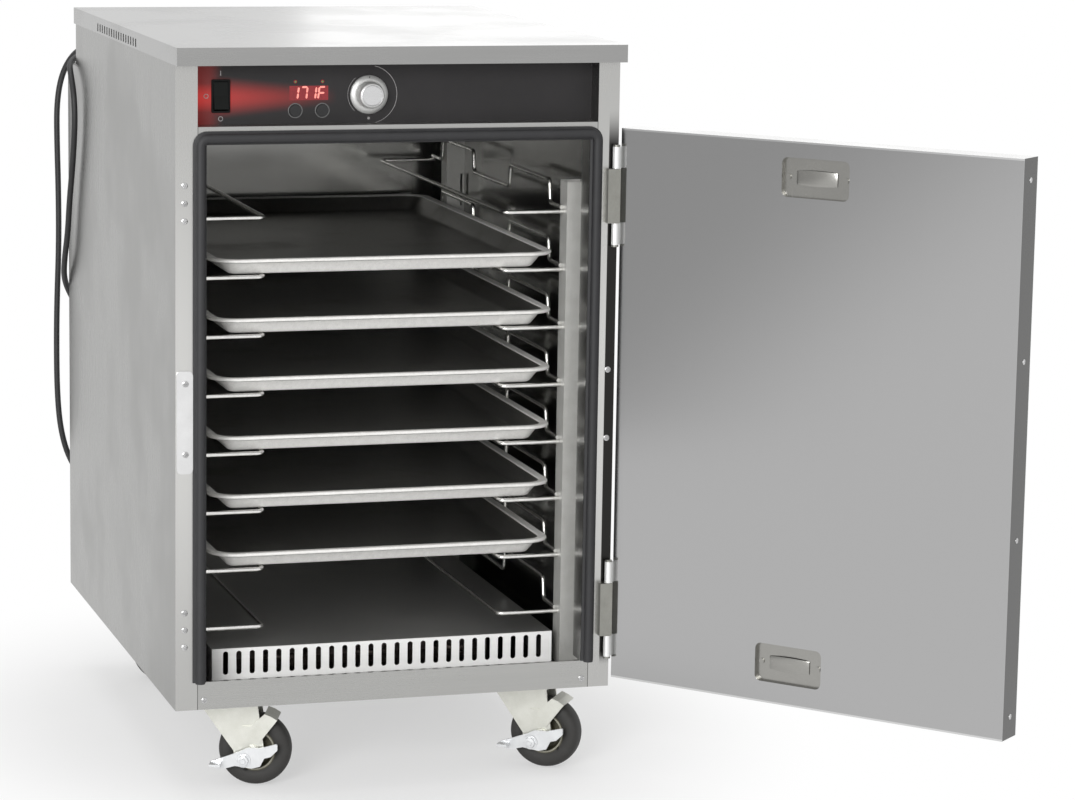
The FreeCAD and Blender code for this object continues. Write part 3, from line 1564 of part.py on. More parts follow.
def power_cord():
    """Tapered gland in the module's rear wall, the cord, and the plug at its end."""
    base = rod(
        "y",
        "gland_radius",
        ("module_depth - gland_inside", "module_depth"),
        x="gland_x",
        z="gland_height",
    )
    flange = rod(
        "y",
        "gland_flange",
        ("module_depth", "module_depth + gland_flange_thick"),
        x="gland_x",
        z="gland_height",
    )
    boot = taper(
        "y",
        ("gland_radius", "gland_tip_radius"),
        ("module_depth + gland_flange_thick", "module_depth + gland_length"),
        x="gland_x",
        z="gland_height",
    )
    node("cord_gland", fuse(base, flange, boot))
    tip = Vector(place_of("gland_x"), place_of("module_depth + gland_length"), place_of("gland_height"))
    points = [tip + Vector(*point) - Vector(*CORD_ROUTE[0]) for point in CORD_ROUTE]
    solid, length, radii = tube("power_cord", points, size("cord_diameter") / 2)
    print("cord length %.0f mm, least radius %.1f mm" % (length, min(radii)))
    print("cord radii", " ".join("%.0f" % radius for radius in radii))
    shape_node("power_cord", solid)
    end = points[-1]
    place = {
        "x": "gland_x + (%r)" % (end.x - tip.x),
        "y": "module_depth + gland_length + (%r)" % (end.y - tip.y),
        "z": "gland_height + (%r)" % (end.z - tip.z),
    }
    neck = taper("z", ("plug_neck_radius", "gland_tip_radius"), ("-plug_neck", "0"))
    case = extruded(
        "XY_Plane",
        [
            ("-plug_width / 2", "-plug_thick / 2"),
            ("plug_width / 2", "-plug_thick / 2"),
            ("plug_width / 2", "plug_thick / 2"),
            ("-plug_width / 2", "plug_thick / 2"),
        ],
        "plug_length - plug_neck",
    )
    rounded(case, "plug_round", lambda edge: runs_along(edge, Vector(0, 0, 1)))
    below = ("-plug_length - blade_length", "-plug_length")
    blades = [
        block(
            about("%s1 * blade_spread / 2" % sign, "blade_thick / 2"),
            about("blade_rise", "blade_height / 2"),
            below,
        )
        for sign in "+-"
    ]
    earth = rod("z", "earth_radius", below, y="blade_rise - earth_drop")
    node("power_plug", fuse(neck, copy_at(case, z="-plug_length"), *blades, earth), **place)


def main():
    """Builds every node, checks the document and writes the files."""
    side_panels()
    outer_skins()
    cavity()
    gasket()
    fascia()
    controls()
    slides()
    pans()
    heating()
    door()
    hinges()
    fasteners()
    castors()
    power_cord()
    doc.recompute()
    for item in doc.Objects:
        if "Invalid" in item.State or "Error" in item.State:
            raise RuntimeError("%s (%s) failed: %s" % (item.Name, item.Label, item.State))
    os.makedirs("parts", exist_ok=True)
    for piece in NODES:
        shape = piece.Shape
        if shape.isNull() or not shape.isValid() or not shape.Solids:
            raise RuntimeError("%s has no valid solid" % piece.Label)
    for piece in NODES:
        piece.Shape.exportStep("parts/%s.step" % piece.Label)
    print("%d nodes, %d solids" % (len(NODES), sum(len(piece.Shape.Solids) for piece in NODES)))


main()
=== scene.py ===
"""Heated holding cabinet: finishes for the CAD nodes, formed pieces for some of them, and a studio.

Everything is in metres in the frame of the CAD model: x to the right, y to the back, z up.
"""
import logging
import math
from dataclasses import dataclass
from enum import Enum
from typing import Optional, Sequence, Union

import bmesh
import bpy
import numpy as np
from mathutils import Matrix, Vector


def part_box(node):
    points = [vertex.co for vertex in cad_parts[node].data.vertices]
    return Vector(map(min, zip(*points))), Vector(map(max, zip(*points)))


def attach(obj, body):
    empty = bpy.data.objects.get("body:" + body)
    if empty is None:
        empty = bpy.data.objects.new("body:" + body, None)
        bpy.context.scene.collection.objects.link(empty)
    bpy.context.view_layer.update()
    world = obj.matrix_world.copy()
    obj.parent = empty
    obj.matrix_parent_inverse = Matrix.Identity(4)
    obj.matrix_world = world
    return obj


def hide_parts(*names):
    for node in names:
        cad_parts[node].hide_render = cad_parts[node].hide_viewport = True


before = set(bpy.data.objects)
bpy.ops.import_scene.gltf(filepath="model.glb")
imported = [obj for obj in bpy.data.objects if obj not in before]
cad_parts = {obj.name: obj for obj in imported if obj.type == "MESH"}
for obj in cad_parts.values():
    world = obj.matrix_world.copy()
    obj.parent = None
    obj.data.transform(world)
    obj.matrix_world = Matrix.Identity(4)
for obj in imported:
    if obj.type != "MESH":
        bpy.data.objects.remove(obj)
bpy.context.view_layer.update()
LOG = logging.getLogger("cabinet")
FRONT = -0.383
PANEL_FACE = FRONT + 0.030
X, Y, Z = np.eye(3)
WHITE = (1.0, 1.0, 1.0, 1.0)
Colour = tuple[float, float, float]


# Shader building


class Value:
    """A node's output socket whose arithmetic adds Math nodes to the tree."""

    def __init__(self, shader: "Shader", socket: bpy.types.NodeSocket) -> None:
        """Wraps one socket of a shader's tree."""
        self.shader = shader
        self.socket = socket

    def math(self, operation: str, first: "Number", second: "Number" = 0.0) -> "Value":
        """Adds a Math node.

        Args:
            operation: Name of the Math node's operation.
            first: Upper input.
            second: Lower input.

        Returns:
            The node's result.
        """
        return self.shader.add("ShaderNodeMath", {"operation": operation}, {0: first, 1: second})

    def __add__(self, other: "Number") -> "Value":
        """Sum."""
        return self.math("ADD", self, other)

    def __radd__(self, other: "Number") -> "Value":
        """Sum with a number in front."""
        return self.math("ADD", other, self)

    def __sub__(self, other: "Number") -> "Value":
        """Difference."""
        return self.math("SUBTRACT", self, other)

    def __rsub__(self, other: "Number") -> "Value":
        """Difference from a number in front."""
        return self.math("SUBTRACT", other, self)

    def __mul__(self, other: "Number") -> "Value":
        """Product."""
        return self.math("MULTIPLY", self, other)

    def __rmul__(self, other: "Number") -> "Value":
        """Product with a number in front."""
        return self.math("MULTIPLY", other, self)

    def __truediv__(self, other: "Number") -> "Value":
        """Quotient."""
        return self.math("DIVIDE", self, other)

    def largest(self, other: "Number") -> "Value":
        """The larger of two values."""
        return self.math("MAXIMUM", self, other)

    def size(self) -> "Value":
        """The value without its sign."""
        return self.math("ABSOLUTE", self)

    def step(self, low: float, high: float) -> "Value":
        """Rises smoothly from 0 at low to 1 at high.

        Args:
            low: Value where the result leaves 0.
            high: Value where the result reaches 1.

        Returns:
            The smooth step.
        """
        settings = {"interpolation_type": "SMOOTHSTEP"}
        inputs = {"Value": self, "From Min": low, "From Max": high}
        return self.shader.add("ShaderNodeMapRange", settings, inputs)


Number = Union[Value, float]


class Shader:
    """A material's or the world's node tree, filled through one node-making method."""

    def __init__(self, owner: Union[bpy.types.Material, bpy.types.World]) -> None:
        """Clears the owner's tree."""
        owner.use_nodes = True
        self.tree = owner.node_tree
        self.tree.nodes.clear()

    def add(self, kind: str, settings: dict, inputs: dict, output: Union[int, str] = 0) -> Value:
        """Adds a node of any kind.

        Args:
            kind: The node's type name.
            settings: Properties that are set first; "stops" are a colour ramp's places and colours.
            inputs: Values or links by socket name or number.
            output: Name or number of the output to return.

        Returns:
            The chosen output.
        """
        node = self.tree.nodes.new(kind)
        for name, setting in settings.items():
            if name == "stops":
                self.set_stops(node.color_ramp, setting)
            else:
                setattr(node, name, setting)
        for name, value in inputs.items():
            if isinstance(value, Value):
                self.tree.links.new(value.socket, node.inputs[name])
            else:
                node.inputs[name].default_value = value
        return Value(self, node.outputs[output]) if node.outputs else Value(self, None)

    @staticmethod
    def set_stops(ramp: bpy.types.ColorRamp, stops: Sequence[tuple[float, Colour]]) -> None:
        """Gives a colour ramp its stops.

        Args:
            ramp: The ramp, with its two first stops.
            stops: Place and colour of each stop.
        """
        for _ in range(len(stops) - 2):
            ramp.elements.new(0.5)
        for element, (place, colour) in zip(ramp.elements, stops):
            element.position = place
            element.color = (*colour, 1.0)

    def place(self, scale: Sequence[float] = (1, 1, 1), shift: Sequence[float] = (0, 0, 0)) -> Value:
        """Object coordinates, moved and then stretched.

        Args:
            scale: Factor along each axis.
            shift: Place that becomes the origin.

        Returns:
            The vector.
        """
        here = self.add("ShaderNodeTexCoord", {}, {}, "Object")
        moved = self.add("ShaderNodeVectorMath", {"operation": "SUBTRACT"}, {0: here, 1: shift})
        return self.add("ShaderNodeVectorMath", {"operation": "MULTIPLY"}, {0: moved, 1: scale})

    def axis(self, name: str) -> Value:
        """One object coordinate, by the name of its axis."""
        return self.add("ShaderNodeSeparateXYZ", {}, {0: self.place()}, name)

    def noise(self, vector: Value, scale: float, detail: float = 2.0, rough: float = 0.5) -> Value:
        """Noise around one half.

        Args:
            vector: Where it is read.
            scale: Cells to a unit of the vector.
            detail: Octaves.
            rough: Share that each octave keeps.

        Returns:
            The noise value.
        """
        inputs = {"Vector": vector, "Scale": scale, "Detail": detail, "Roughness": rough}
        return self.add("ShaderNodeTexNoise", {}, inputs, "Fac")

    def ramp(self, value: Value, *stops: tuple[float, Colour]) -> Value:
        """Turns a value into a colour through stops."""
        return self.add("ShaderNodeValToRGB", {"stops": stops}, {"Fac": value}, "Color")

    def blend(self, factor: Number, first: Union[Value, Colour], second: Union[Value, Colour]) -> Value:
        """Mixes two colours.

        Args:
            factor: 0 gives the first, 1 the second.
            first: Colour at 0.
            second: Colour at 1.

        Returns:
            The mixed colour.
        """
        ends = [end if isinstance(end, Value) else (*end, 1.0) for end in (first, second)]
        return self.add("ShaderNodeMix", {"data_type": "RGBA"}, {0: factor, 6: ends[0], 7: ends[1]}, 2)

    def bump(self, height: Value, distance: float, strength: float = 1.0) -> Value:
        """A bumped normal.

        Args:
            height: Height as a value from 0 to 1.
            distance: What a height of 1 stands for, in metres.
            strength: Share of the bump that shows.

        Returns:
            The normal.
        """
        inputs = {"Height": height, "Distance": distance, "Strength": strength}
        return self.add("ShaderNodeBump", {}, inputs, "Normal")

    def surface(self, **inputs: object) -> Value:
        """Ends a material in a Principled shader; underscores in a socket's name stand for spaces."""
        sockets = {name.replace("_", " "): value for name, value in inputs.items()}
        for name in ("Base Color", "Emission Color"):
            if name in sockets and not isinstance(sockets[name], Value):
                sockets[name] = (*sockets[name], 1.0)
        shader = self.add("ShaderNodeBsdfPrincipled", {}, sockets)
        self.add("ShaderNodeOutputMaterial", {}, {"Surface": shader})
        return shader


# Finishes


class Grain(Enum):
    """Direction that a sheet's brushing runs in, as stretch factors of its noise."""

    ACROSS = (0.02, 1.0, 1.0)
    UPRIGHT = (1.0, 1.0, 0.02)


class Finish:
    """A named look; each kind of finish fills a node tree in its own way."""

    name: str

    def material(self) -> bpy.types.Material:
        """The finish's material, made when it is first asked for."""
        material = bpy.data.materials.get(self.name)
        if material is None:
            material = bpy.data.materials.new(self.name)
            self.fill(Shader(material))
        return material

    def fill(self, shader: Shader) -> None:
        """Adds the finish's nodes to an empty tree."""
        raise NotImplementedError


@dataclass(frozen=True)
class BrushedSteel(Finish):
    """Sheet steel with fine brushing, faint smears and a soft mottle."""

    name: str
    tone: float = 0.45
    tint: Colour = (1.0, 1.0, 1.005)
    rough: float = 0.3
    grain: Grain = Grain.UPRIGHT
    lines: float = 1400.0
    depth: float = 0.000012
    smear: float = 0.06
    cloud: float = 0.04
    lined: float = 0.08

    def fill(self, shader: Shader) -> None:
        """Stretched noise for the lines, wide noise for smears and handling."""
        fine = shader.noise(shader.place(self.grain.value), self.lines, 3.0, 0.6)
        streak = shader.noise(shader.place(self.grain.value), self.lines / 9, 2.0, 0.55)
        cloud = shader.noise(shader.place(), 5.0, 3.0, 0.6)
        shade = 1.0 + self.lined * (fine + streak - 1.0) + self.cloud * (cloud - 0.5)
        dark, light = ([self.tone * part * share for part in self.tint] for share in (0.8, 1.2))
        colour = self.shaded(shader, shader.ramp(shade - 0.5, (0.3, tuple(dark)), (0.7, tuple(light))))
        rough = self.rough - 0.08 + 0.10 * fine + self.smear * cloud.step(0.42, 0.7)
        normal = shader.bump(fine * 0.7 + streak * 0.3, self.depth, 0.5)
        shader.surface(Base_Color=colour, Metallic=self.metal(shader), Roughness=rough, Normal=normal)

    def metal(self, shader: Shader) -> Number:
        """How much of the sheet shines as bare metal; here all of it."""
        return 1.0

    def shaded(self, shader: Shader, colour: Value) -> Value:
        """The sheet's colour where it is not the same all over; here it is."""
        return colour


@dataclass(frozen=True)
class FoldedSide(BrushedSteel):
    """Side sheet with a painted highlight on its paler front fold, and a dark strip of painted shade on the
    hinge side of the right one.
    """

    fold: Colour = (0.52, 0.518, 0.505)
    ends: float = 0.92
    middle: float = 1.22
    rise: tuple[float, float] = (0.12, 0.45)
    fall: tuple[float, float] = (0.55, 0.95)
    painted_shade_x: float = 0.2758
    painted_shade_rise: tuple[float, float] = (0.150, 0.170)
    painted_shade_fall: tuple[float, float] = (0.83, 0.885)
    painted_shade_colour: Colour = (0.030, 0.029, 0.028)

    def shaded(self, shader: Shader, colour: Value) -> Value:
        """Painted highlight on the front fold, brightest at mid height, and painted shade beside the hinges.

        Args:
            shader: The material's tree.
            colour: Colour of the plain sheet.

        Returns:
            The colour by place on the sheet.
        """
        x, y, z = (shader.axis(name) for name in "XYZ")
        front = 1.0 - y.step(FRONT + 0.0002, FRONT + 0.0008)
        # Painted highlight: the front fold is paler, and brightest between rise and fall.
        mid_height_highlight = z.step(*self.rise) * (1.0 - z.step(*self.fall))
        dim, bright = (tuple(share * part for part in self.fold) for share in (self.ends, self.middle))
        pale = shader.blend(mid_height_highlight, dim, bright)
        # Painted shade: a dark strip down the right post's front between the hinges.
        above = x.step(self.painted_shade_x, self.painted_shade_x + 0.0006) * z.step(*self.painted_shade_rise)
        beside = above * (1.0 - z.step(*self.painted_shade_fall))
        face = shader.blend(beside, pale, self.painted_shade_colour)
        return shader.blend(front, colour, face)


@dataclass(frozen=True)
class SeamedRail(BrushedSteel):
    """Rail between the posts, with a dark line where its ends butt against them."""

    end: float = 0.25
    seam: Colour = (0.08, 0.08, 0.077)

    def shaded(self, shader: Shader, colour: Value) -> Value:
        """Dark within a millimetre of either end.

        Args:
            shader: The material's tree.
            colour: Colour of the plain sheet.

        Returns:
            The colour by place on the rail.
        """
        beside = shader.axis("X").size().step(self.end - 0.0010, self.end - 0.0006)
        return shader.blend(beside, colour, self.seam)


@dataclass(frozen=True)
class GuardSheet(BrushedSteel):
    """Slotted guard: its front is a pale satin of painted light, and its top is bright metal darkened by
    painted shade.
    """

    face: float = -0.3
    behind: float = 0.50

    def metal(self, shader: Shader) -> Number:
        """None on the front, all of it behind."""
        return shader.axis("Y").step(self.face + 0.0012, self.face + 0.0030)

    def shaded(self, shader: Shader, colour: Value) -> Value:
        """Painted shade: darker behind the front.

        Args:
            shader: The material's tree.
            colour: Colour of the front.

        Returns:
            The colour by place on the sheet.
        """
        # Painted shade: the top behind the front gets this darker colour.
        dark = tuple(self.behind * part for part in self.tint)
        return shader.blend(self.metal(shader), colour, dark)


@dataclass(frozen=True)
class EdgeHighlightSkin(BrushedSteel):
    """Inner sheet of the door, with a painted highlight as a paler band along its top and bottom."""

    low: float = 0.0
    high: float = 1.0
    highlight_width: float = 0.0024
    highlight_lift: float = 1.5

    def shaded(self, shader: Shader, colour: Value) -> Value:
        """Painted highlight: paler within the band's width of the top and bottom.

        Args:
            shader: The material's tree.
            colour: Colour of the plain sheet.

        Returns:
            The colour by place on the sheet.
        """
        away = (shader.axis("Z") - (self.low + self.high) / 2).size()
        half = (self.high - self.low) / 2 - self.highlight_width
        # Painted highlight: a paler band along the top and bottom edges.
        pale = tuple(self.highlight_lift * self.tone * part for part in self.tint)
        return shader.blend(away.step(half - 0.0003, half + 0.0003), colour, pale)


@dataclass(frozen=True)
class DoorPan(BrushedSteel):
    """Outer sheet of the door, whose free edge face is darker as painted shade."""

    way: Colour = (0.0, 0.0, 0.0)
    reach: float = 0.0
    edge: float = 0.36

    def shaded(self, shader: Shader, colour: Value) -> Value:
        """Painted shade: darker within a millimetre of the furthest reach along the door.

        Args:
            shader: The material's tree.
            colour: Colour of the plain sheet.

        Returns:
            The colour by place on the sheet.
        """
        inputs = {0: shader.place(), 1: self.way}
        along = shader.add("ShaderNodeVectorMath", {"operation": "DOT_PRODUCT"}, inputs, "Value")
        # Painted shade on the free edge face.
        dark = tuple(self.edge * self.tone * part for part in self.tint)
        return shader.blend(along.step(self.reach - 0.0010, self.reach - 0.0004), colour, dark)


@dataclass(frozen=True)
class UsedAluminium(Finish):
    """Pressed aluminium with rolling lines, scuffs and oven-browned patches."""

    name: str
    tone: float = 0.72
    rough: float = 0.46
    stain: float = 0.25
    metallic: float = 0.9

    def fill(self, shader: Shader) -> None:
        """Rolling lines along y, short scratches, and a brown stain by wide noise."""
        lines = shader.noise(shader.place((1.0, 0.03, 1.0)), 900.0, 3.0, 0.6)
        scuff = shader.noise(shader.place((1.0, 0.2, 1.0)), 160.0, 4.0, 0.7)
        patch = shader.noise(shader.place(), 9.0, 4.0, 0.6)
        dark = (self.tone * 0.86, self.tone * 0.85, self.tone * 0.82)
        light = (self.tone * 1.1, self.tone * 1.09, self.tone * 1.06)
        brown = (self.tone * 0.70, self.tone * 0.66, self.tone * 0.58)
        metal = shader.ramp(lines * 0.5 + scuff * 0.5, (0.3, dark), (0.72, light))
        colour = shader.blend(patch.step(0.52, 0.78) * self.stain, metal, brown)
        rough = self.rough - 0.07 + 0.16 * scuff + 0.12 * patch.step(0.5, 0.75)
        normal = shader.bump(scuff * 0.6 + lines * 0.4, 0.00004, 0.6)
        shader.surface(Base_Color=colour, Metallic=self.metallic, Roughness=rough, Normal=normal)


@dataclass(frozen=True)
class PlatedMetal(Finish):
    """Plated or cast metal: even colour, faint cloud and fine pits."""

    name: str
    dark: Colour = (0.55, 0.55, 0.54)
    light: Colour = (0.78, 0.78, 0.77)
    rough: float = 0.26
    metallic: float = 1.0
    pit: float = 0.00005

    def fill(self, shader: Shader) -> None:
        """Cloudy tone from noise, and pits from finer noise."""
        cloud = shader.noise(shader.place(), 55.0, 4.0, 0.6)
        speck = shader.noise(shader.place(), 700.0, 2.0, 0.6)
        colour = shader.ramp(cloud * 0.7 + speck * 0.3, (0.34, self.dark), (0.66, self.light))
        rough = self.rough - 0.06 + 0.12 * cloud + 0.08 * speck
        normal = shader.bump(speck, self.pit, 0.5)
        shader.surface(Base_Color=colour, Metallic=self.metallic, Roughness=rough, Normal=normal)


@dataclass(frozen=True)
class Moulding(Finish):
    """Moulded plastic or rubber with a fine spark-eroded grain and a little dust."""

    name: str
    colour: Colour = (0.02, 0.02, 0.021)
    rough: float = 0.5
    grain: float = 1500.0
    depth: float = 0.00006
    dust: float = 0.2
    coat: float = 0.0
    shine: float = 0.5

    def fill(self, shader: Shader) -> None:
        """Grain from fine noise, and a paler dust that wide noise gathers."""
        grit = shader.noise(shader.place(), self.grain, 3.0, 0.65)
        cloud = shader.noise(shader.place(), 40.0, 4.0, 0.62)
        pale = tuple(0.75 * part + 0.035 for part in self.colour)
        deep = tuple(0.85 * part for part in self.colour)
        base = shader.ramp(grit, (0.35, deep), (0.65, self.colour))
        colour = shader.blend(cloud.step(0.45, 0.8) * self.dust, base, pale)
        rough = self.rough - 0.05 + 0.12 * grit + 0.10 * cloud
        normal = shader.bump(grit, self.depth, 0.6)
        shader.surface(Base_Color=colour, Roughness=rough, Normal=normal, Coat_Weight=self.coat,
                       Specular_IOR_Level=self.shine)


@dataclass(frozen=True)
class LitPanel(Finish):
    """Dark control panel with a fine texture and red light that spreads sideways from the lit switch."""

    name: str = "panel_finish"
    lamp: tuple[float, float, float] = (-0.2256, PANEL_FACE, 0.8995)
    reach: float = 0.150
    spread: float = 0.029
    taper: float = 0.11
    least: float = 0.008
    edge: tuple[float, float] = (-0.016, 0.004)
    tall: float = 0.085
    left: float = 0.40
    dark: Colour = (0.022, 0.021, 0.0215)
    light: Colour = (0.032, 0.030, 0.031)
    red: Colour = (0.42, 0.020, 0.016)

    def fill(self, shader: Shader) -> None:
        """A beam that narrows to the right, and a taller glow left of the switch."""
        grit = shader.noise(shader.place(), 1600.0, 2.0, 0.6)
        cloud = shader.noise(shader.place(), 12.0, 3.0, 0.6)
        away = shader.place(shift=self.lamp)
        side, _, rise = (shader.add("ShaderNodeSeparateXYZ", {}, {0: away}, axis) for axis in "XYZ")
        right = side.largest(0.0)
        beam = (1.0 - rise.size() / (self.spread - self.taper * right).largest(self.least)).largest(0.0)
        soft = beam * beam * (3.0 - 2.0 * beam)
        tall = (1.0 - rise.size() / self.tall).largest(0.0) * (1.0 - side.step(*self.edge)) * self.left
        glow = soft.largest(tall) * (1.0 - right / self.reach).largest(0.0)
        colour = shader.ramp(grit * 0.5 + cloud * 0.5, (0.35, self.dark), (0.65, self.light))
        light = shader.blend(glow, (0.0, 0.0, 0.0), self.red)
        normal = shader.bump(grit, 0.00005, 0.5)
        rough = 0.40 + 0.12 * grit + 0.06 * cloud
        shader.surface(Base_Color=colour, Roughness=rough, Normal=normal, Specular_IOR_Level=0.25,
                       Emission_Color=light, Emission_Strength=1.0)


@dataclass(frozen=True)
class Glow(Finish):
    """A lit mark or lamp: a clear coloured moulding with light from inside."""

    name: str
    colour: Colour
    light: Colour
    rough: float = 0.3

    def fill(self, shader: Shader) -> None:
        """The light is a little uneven, by fine noise."""
        cloud = shader.noise(shader.place(), 420.0, 2.0, 0.5)
        weak = tuple(0.75 * part for part in self.light)
        light = shader.ramp(cloud, (0.3, weak), (0.7, self.light))
        colour = shader.ramp(cloud, (0.3, tuple(0.85 * part for part in self.colour)), (0.7, self.colour))
        rough = self.rough + 0.1 * cloud
        shader.surface(Base_Color=colour, Roughness=rough, Emission_Color=light, Emission_Strength=1.0)


@dataclass(frozen=True)
class Fibre(Finish):
    """Mineral fibre blanket with tangled strands."""

    name: str = "blanket_finish"
    dark: Colour = (0.42, 0.36, 0.2)
    light: Colour = (0.8, 0.74, 0.52)

    def fill(self, shader: Shader) -> None:
        """Strands from noise stretched two ways."""
        along = shader.noise(shader.place((1.0, 0.12, 1.0)), 300.0, 4.0, 0.7)
        over = shader.noise(shader.place((0.12, 1.0, 1.0)), 260.0, 4.0, 0.7)
        strand = along * 0.5 + over * 0.5
        colour = shader.ramp(strand, (0.32, self.dark), (0.68, self.light))
        normal = shader.bump(strand, 0.0015, 0.8)
        shader.surface(Base_Color=colour, Roughness=0.8 + 0.15 * strand, Normal=normal)


# Surfaces on grids


@dataclass
class Patch:
    """Part of a mesh: its points, its faces and the number of its finish."""

    points: np.ndarray
    faces: list
    finish: int = 0


def lattice(grid: np.ndarray, ring: bool = True, loop: bool = False, caps: bool = False,
            finish: int = 0) -> Patch:
    """Joins a grid of points into faces: four neighbours make a face.

    Args:
        grid: Points, rows by columns by 3.
        ring: Whether each row closes on itself.
        loop: Whether the last row joins the first.
        caps: Whether the first and last rows are filled.
        finish: Number of the finish.

    Returns:
        The patch.
    """
    rows, columns = grid.shape[:2]
    number = np.arange(rows * columns).reshape(rows, columns)
    if ring:
        number = np.concatenate([number, number[:, :1]], axis=1)
    if loop:
        number = np.concatenate([number, number[:1]], axis=0)
    quads = np.stack([number[:-1, :-1], number[:-1, 1:], number[1:, 1:], number[1:, :-1]], axis=-1)
    faces = quads.reshape(-1, 4).tolist()
    if caps:
        faces += [np.arange(columns)[::-1].tolist(), (np.arange(columns) + (rows - 1) * columns).tolist()]
    return Patch(grid.reshape(-1, 3), faces, finish)


def piece(name: str, patches: Sequence[Patch], finishes: Sequence[Finish], body: str,
          stands_for: Sequence[str] = (), sharp: float = 40.0) -> bpy.types.Object:
    """Makes one object of patches, dresses it and puts it on its body.

    Args:
        name: The object's name.
        patches: Its surfaces, each closed or joined to another along shared points.
        finishes: Its finishes, in the order of the patches' numbers.
        body: CAD body that carries it.
        stands_for: CAD nodes that it replaces.
        sharp: Angle in degrees above which an edge shows.

    Returns:
        The object, at the origin.
    """
    starts = np.cumsum([0] + [len(patch.points) for patch in patches])
    faces = [[index + start for index in face]
             for patch, start in zip(patches, starts) for face in patch.faces]
    numbers = np.repeat([patch.finish for patch in patches], [len(patch.faces) for patch in patches])
    mesh = bpy.data.meshes.new(name)
    mesh.from_pydata(np.concatenate([patch.points for patch in patches]).tolist(), [], faces)
    mesh.polygons.foreach_set("material_index", numbers)
    work = bmesh.new()
    work.from_mesh(mesh)
    bmesh.ops.remove_doubles(work, verts=work.verts, dist=1e-7)
    bmesh.ops.dissolve_degenerate(work, edges=work.edges, dist=1e-8)
    bmesh.ops.recalc_face_normals(work, faces=work.faces)
    work.to_mesh(mesh)
    work.free()
    mesh.polygons.foreach_set("use_smooth", np.ones(len(mesh.polygons), dtype=bool))
    mesh.set_sharp_from_angle(angle=math.radians(sharp))
    for finish in finishes:
        mesh.materials.append(finish.material())
    thing = bpy.data.objects.new(name, mesh)
    bpy.context.collection.objects.link(thing)
    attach(thing, body)
    if stands_for:
        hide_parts(*stands_for)
    LOG.info("%s: %d faces on %s", name, len(mesh.polygons), body)
    return thing


def dress(finish: Finish, *nodes: str) -> None:
    """Puts a finish on CAD nodes.

    Args:
        finish: The finish.
        nodes: Names of the nodes.
    """
    material = finish.material()
    for name in nodes:
        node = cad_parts[name]
        if not node.material_slots:
            node.data.materials.append(material)
        for slot in node.material_slots:
            slot.material = material
        LOG.info("%s: %s", name, material.name)


def arc(centre: Sequence[float], radius: float, start: float, end: float, count: int) -> np.ndarray:
    """Points of a circle's arc in a profile's plane.

    Args:
        centre: Middle of the circle.
        radius: Its radius.
        start: First angle, in degrees.
        end: Last angle, in degrees.
        count: Number of points.

    Returns:
        Points, count by 2: the centre plus the radius times cosine and sine.
    """
    angle = np.radians(np.linspace(start, end, count))
    return np.asarray(centre) + radius * np.stack([np.cos(angle), np.sin(angle)], axis=1)


def spun(profile: np.ndarray, middle: np.ndarray, axis: np.ndarray, across: np.ndarray, count: int = 64,
         ripple: Optional[np.ndarray] = None) -> np.ndarray:
    """A profile of radii and heights turned about an axis.

    Args:
        profile: Radius and height of each point.
        middle: Point on the axis at height 0.
        axis: Unit vector of the heights.
        across: Unit vector of angle 0, square to the axis.
        count: Points round.
        ripple: Factor on the radius, points of the profile by points round.

    Returns:
        Grid: middle + radius (cosine across + sine sideways) + height axis.
    """
    angle = np.linspace(0, math.tau, count, endpoint=False)
    side = np.cross(axis, across)
    radius = profile[:, :1] * (np.ones((1, count)) if ripple is None else ripple)
    spoke = np.cos(angle)[:, None] * across + np.sin(angle)[:, None] * side
    return middle + radius[..., None] * spoke + (profile[:, 1:] * np.ones((1, count)))[..., None] * axis


def rounded_loop(half_a: float, half_b: float, radius: float,
                 count: int = 10) -> tuple[np.ndarray, np.ndarray]:
    """A rectangle's outline with round corners.

    Args:
        half_a: Half the first side.
        half_b: Half the second side.
        radius: Corner radius.
        count: Points in a corner.

    Returns:
        Points and outward normals, 4 count by 2: corner centre plus radius times the normal.
    """
    angle = np.linspace(0, math.pi / 2, count) + np.arange(4)[:, None] * math.pi / 2
    normal = np.stack([np.cos(angle), np.sin(angle)], axis=-1)
    signs = np.array([[1, 1], [-1, 1], [-1, -1], [1, -1]])[:, None, :]
    points = signs * np.array([half_a - radius, half_b - radius]) + radius * normal
    return points.reshape(-1, 2), normal.reshape(-1, 2)


def carried(profile: np.ndarray, loop: np.ndarray, normal: np.ndarray, middle: np.ndarray, first: np.ndarray,
            second: np.ndarray, rise: np.ndarray) -> np.ndarray:
    """A profile carried along a flat outline.

    Args:
        profile: Offset along the outline's normal and height of each point.
        loop: Points of the outline.
        normal: Its normals.
        middle: Origin of the outline.
        first: Direction of its first coordinate.
        second: Direction of its second coordinate.
        rise: Direction of the heights.

    Returns:
        Grid: middle + (loop + offset normal) in its plane + height rise.
    """
    flat = loop[None] + profile[:, None, :1] * normal[None]
    plane = flat[..., :1] * first + flat[..., 1:] * second
    return middle + plane + profile[:, None, 1:] * rise


def plate(half_a: float, half_b: float, radius: float, thick: float, edge: float, middle: np.ndarray,
          first: np.ndarray, second: np.ndarray, rise: np.ndarray, finish: int = 0, count: int = 8) -> Patch:
    """A flat plate with round corners and softened upper edges.

    Args:
        half_a: Half its first side.
        half_b: Half its second side.
        radius: Corner radius.
        thick: Height.
        edge: Radius of the upper edge.
        middle: Middle of its lower face.
        first: Direction of the first side.
        second: Direction of the second side.
        rise: Direction of its height.
        finish: Number of the finish.
        count: Points in a corner.

    Returns:
        A quarter-round edge profile carried round the outline, filled above and below.
    """
    loop, normal = rounded_loop(half_a, half_b, radius, count)
    round_edge = arc((-edge, thick - edge), edge, 0, 90, 5)
    profile = np.concatenate([[(0.0, 0.0)], round_edge])
    return lattice(carried(profile, loop, normal, middle, first, second, rise), caps=True, finish=finish)


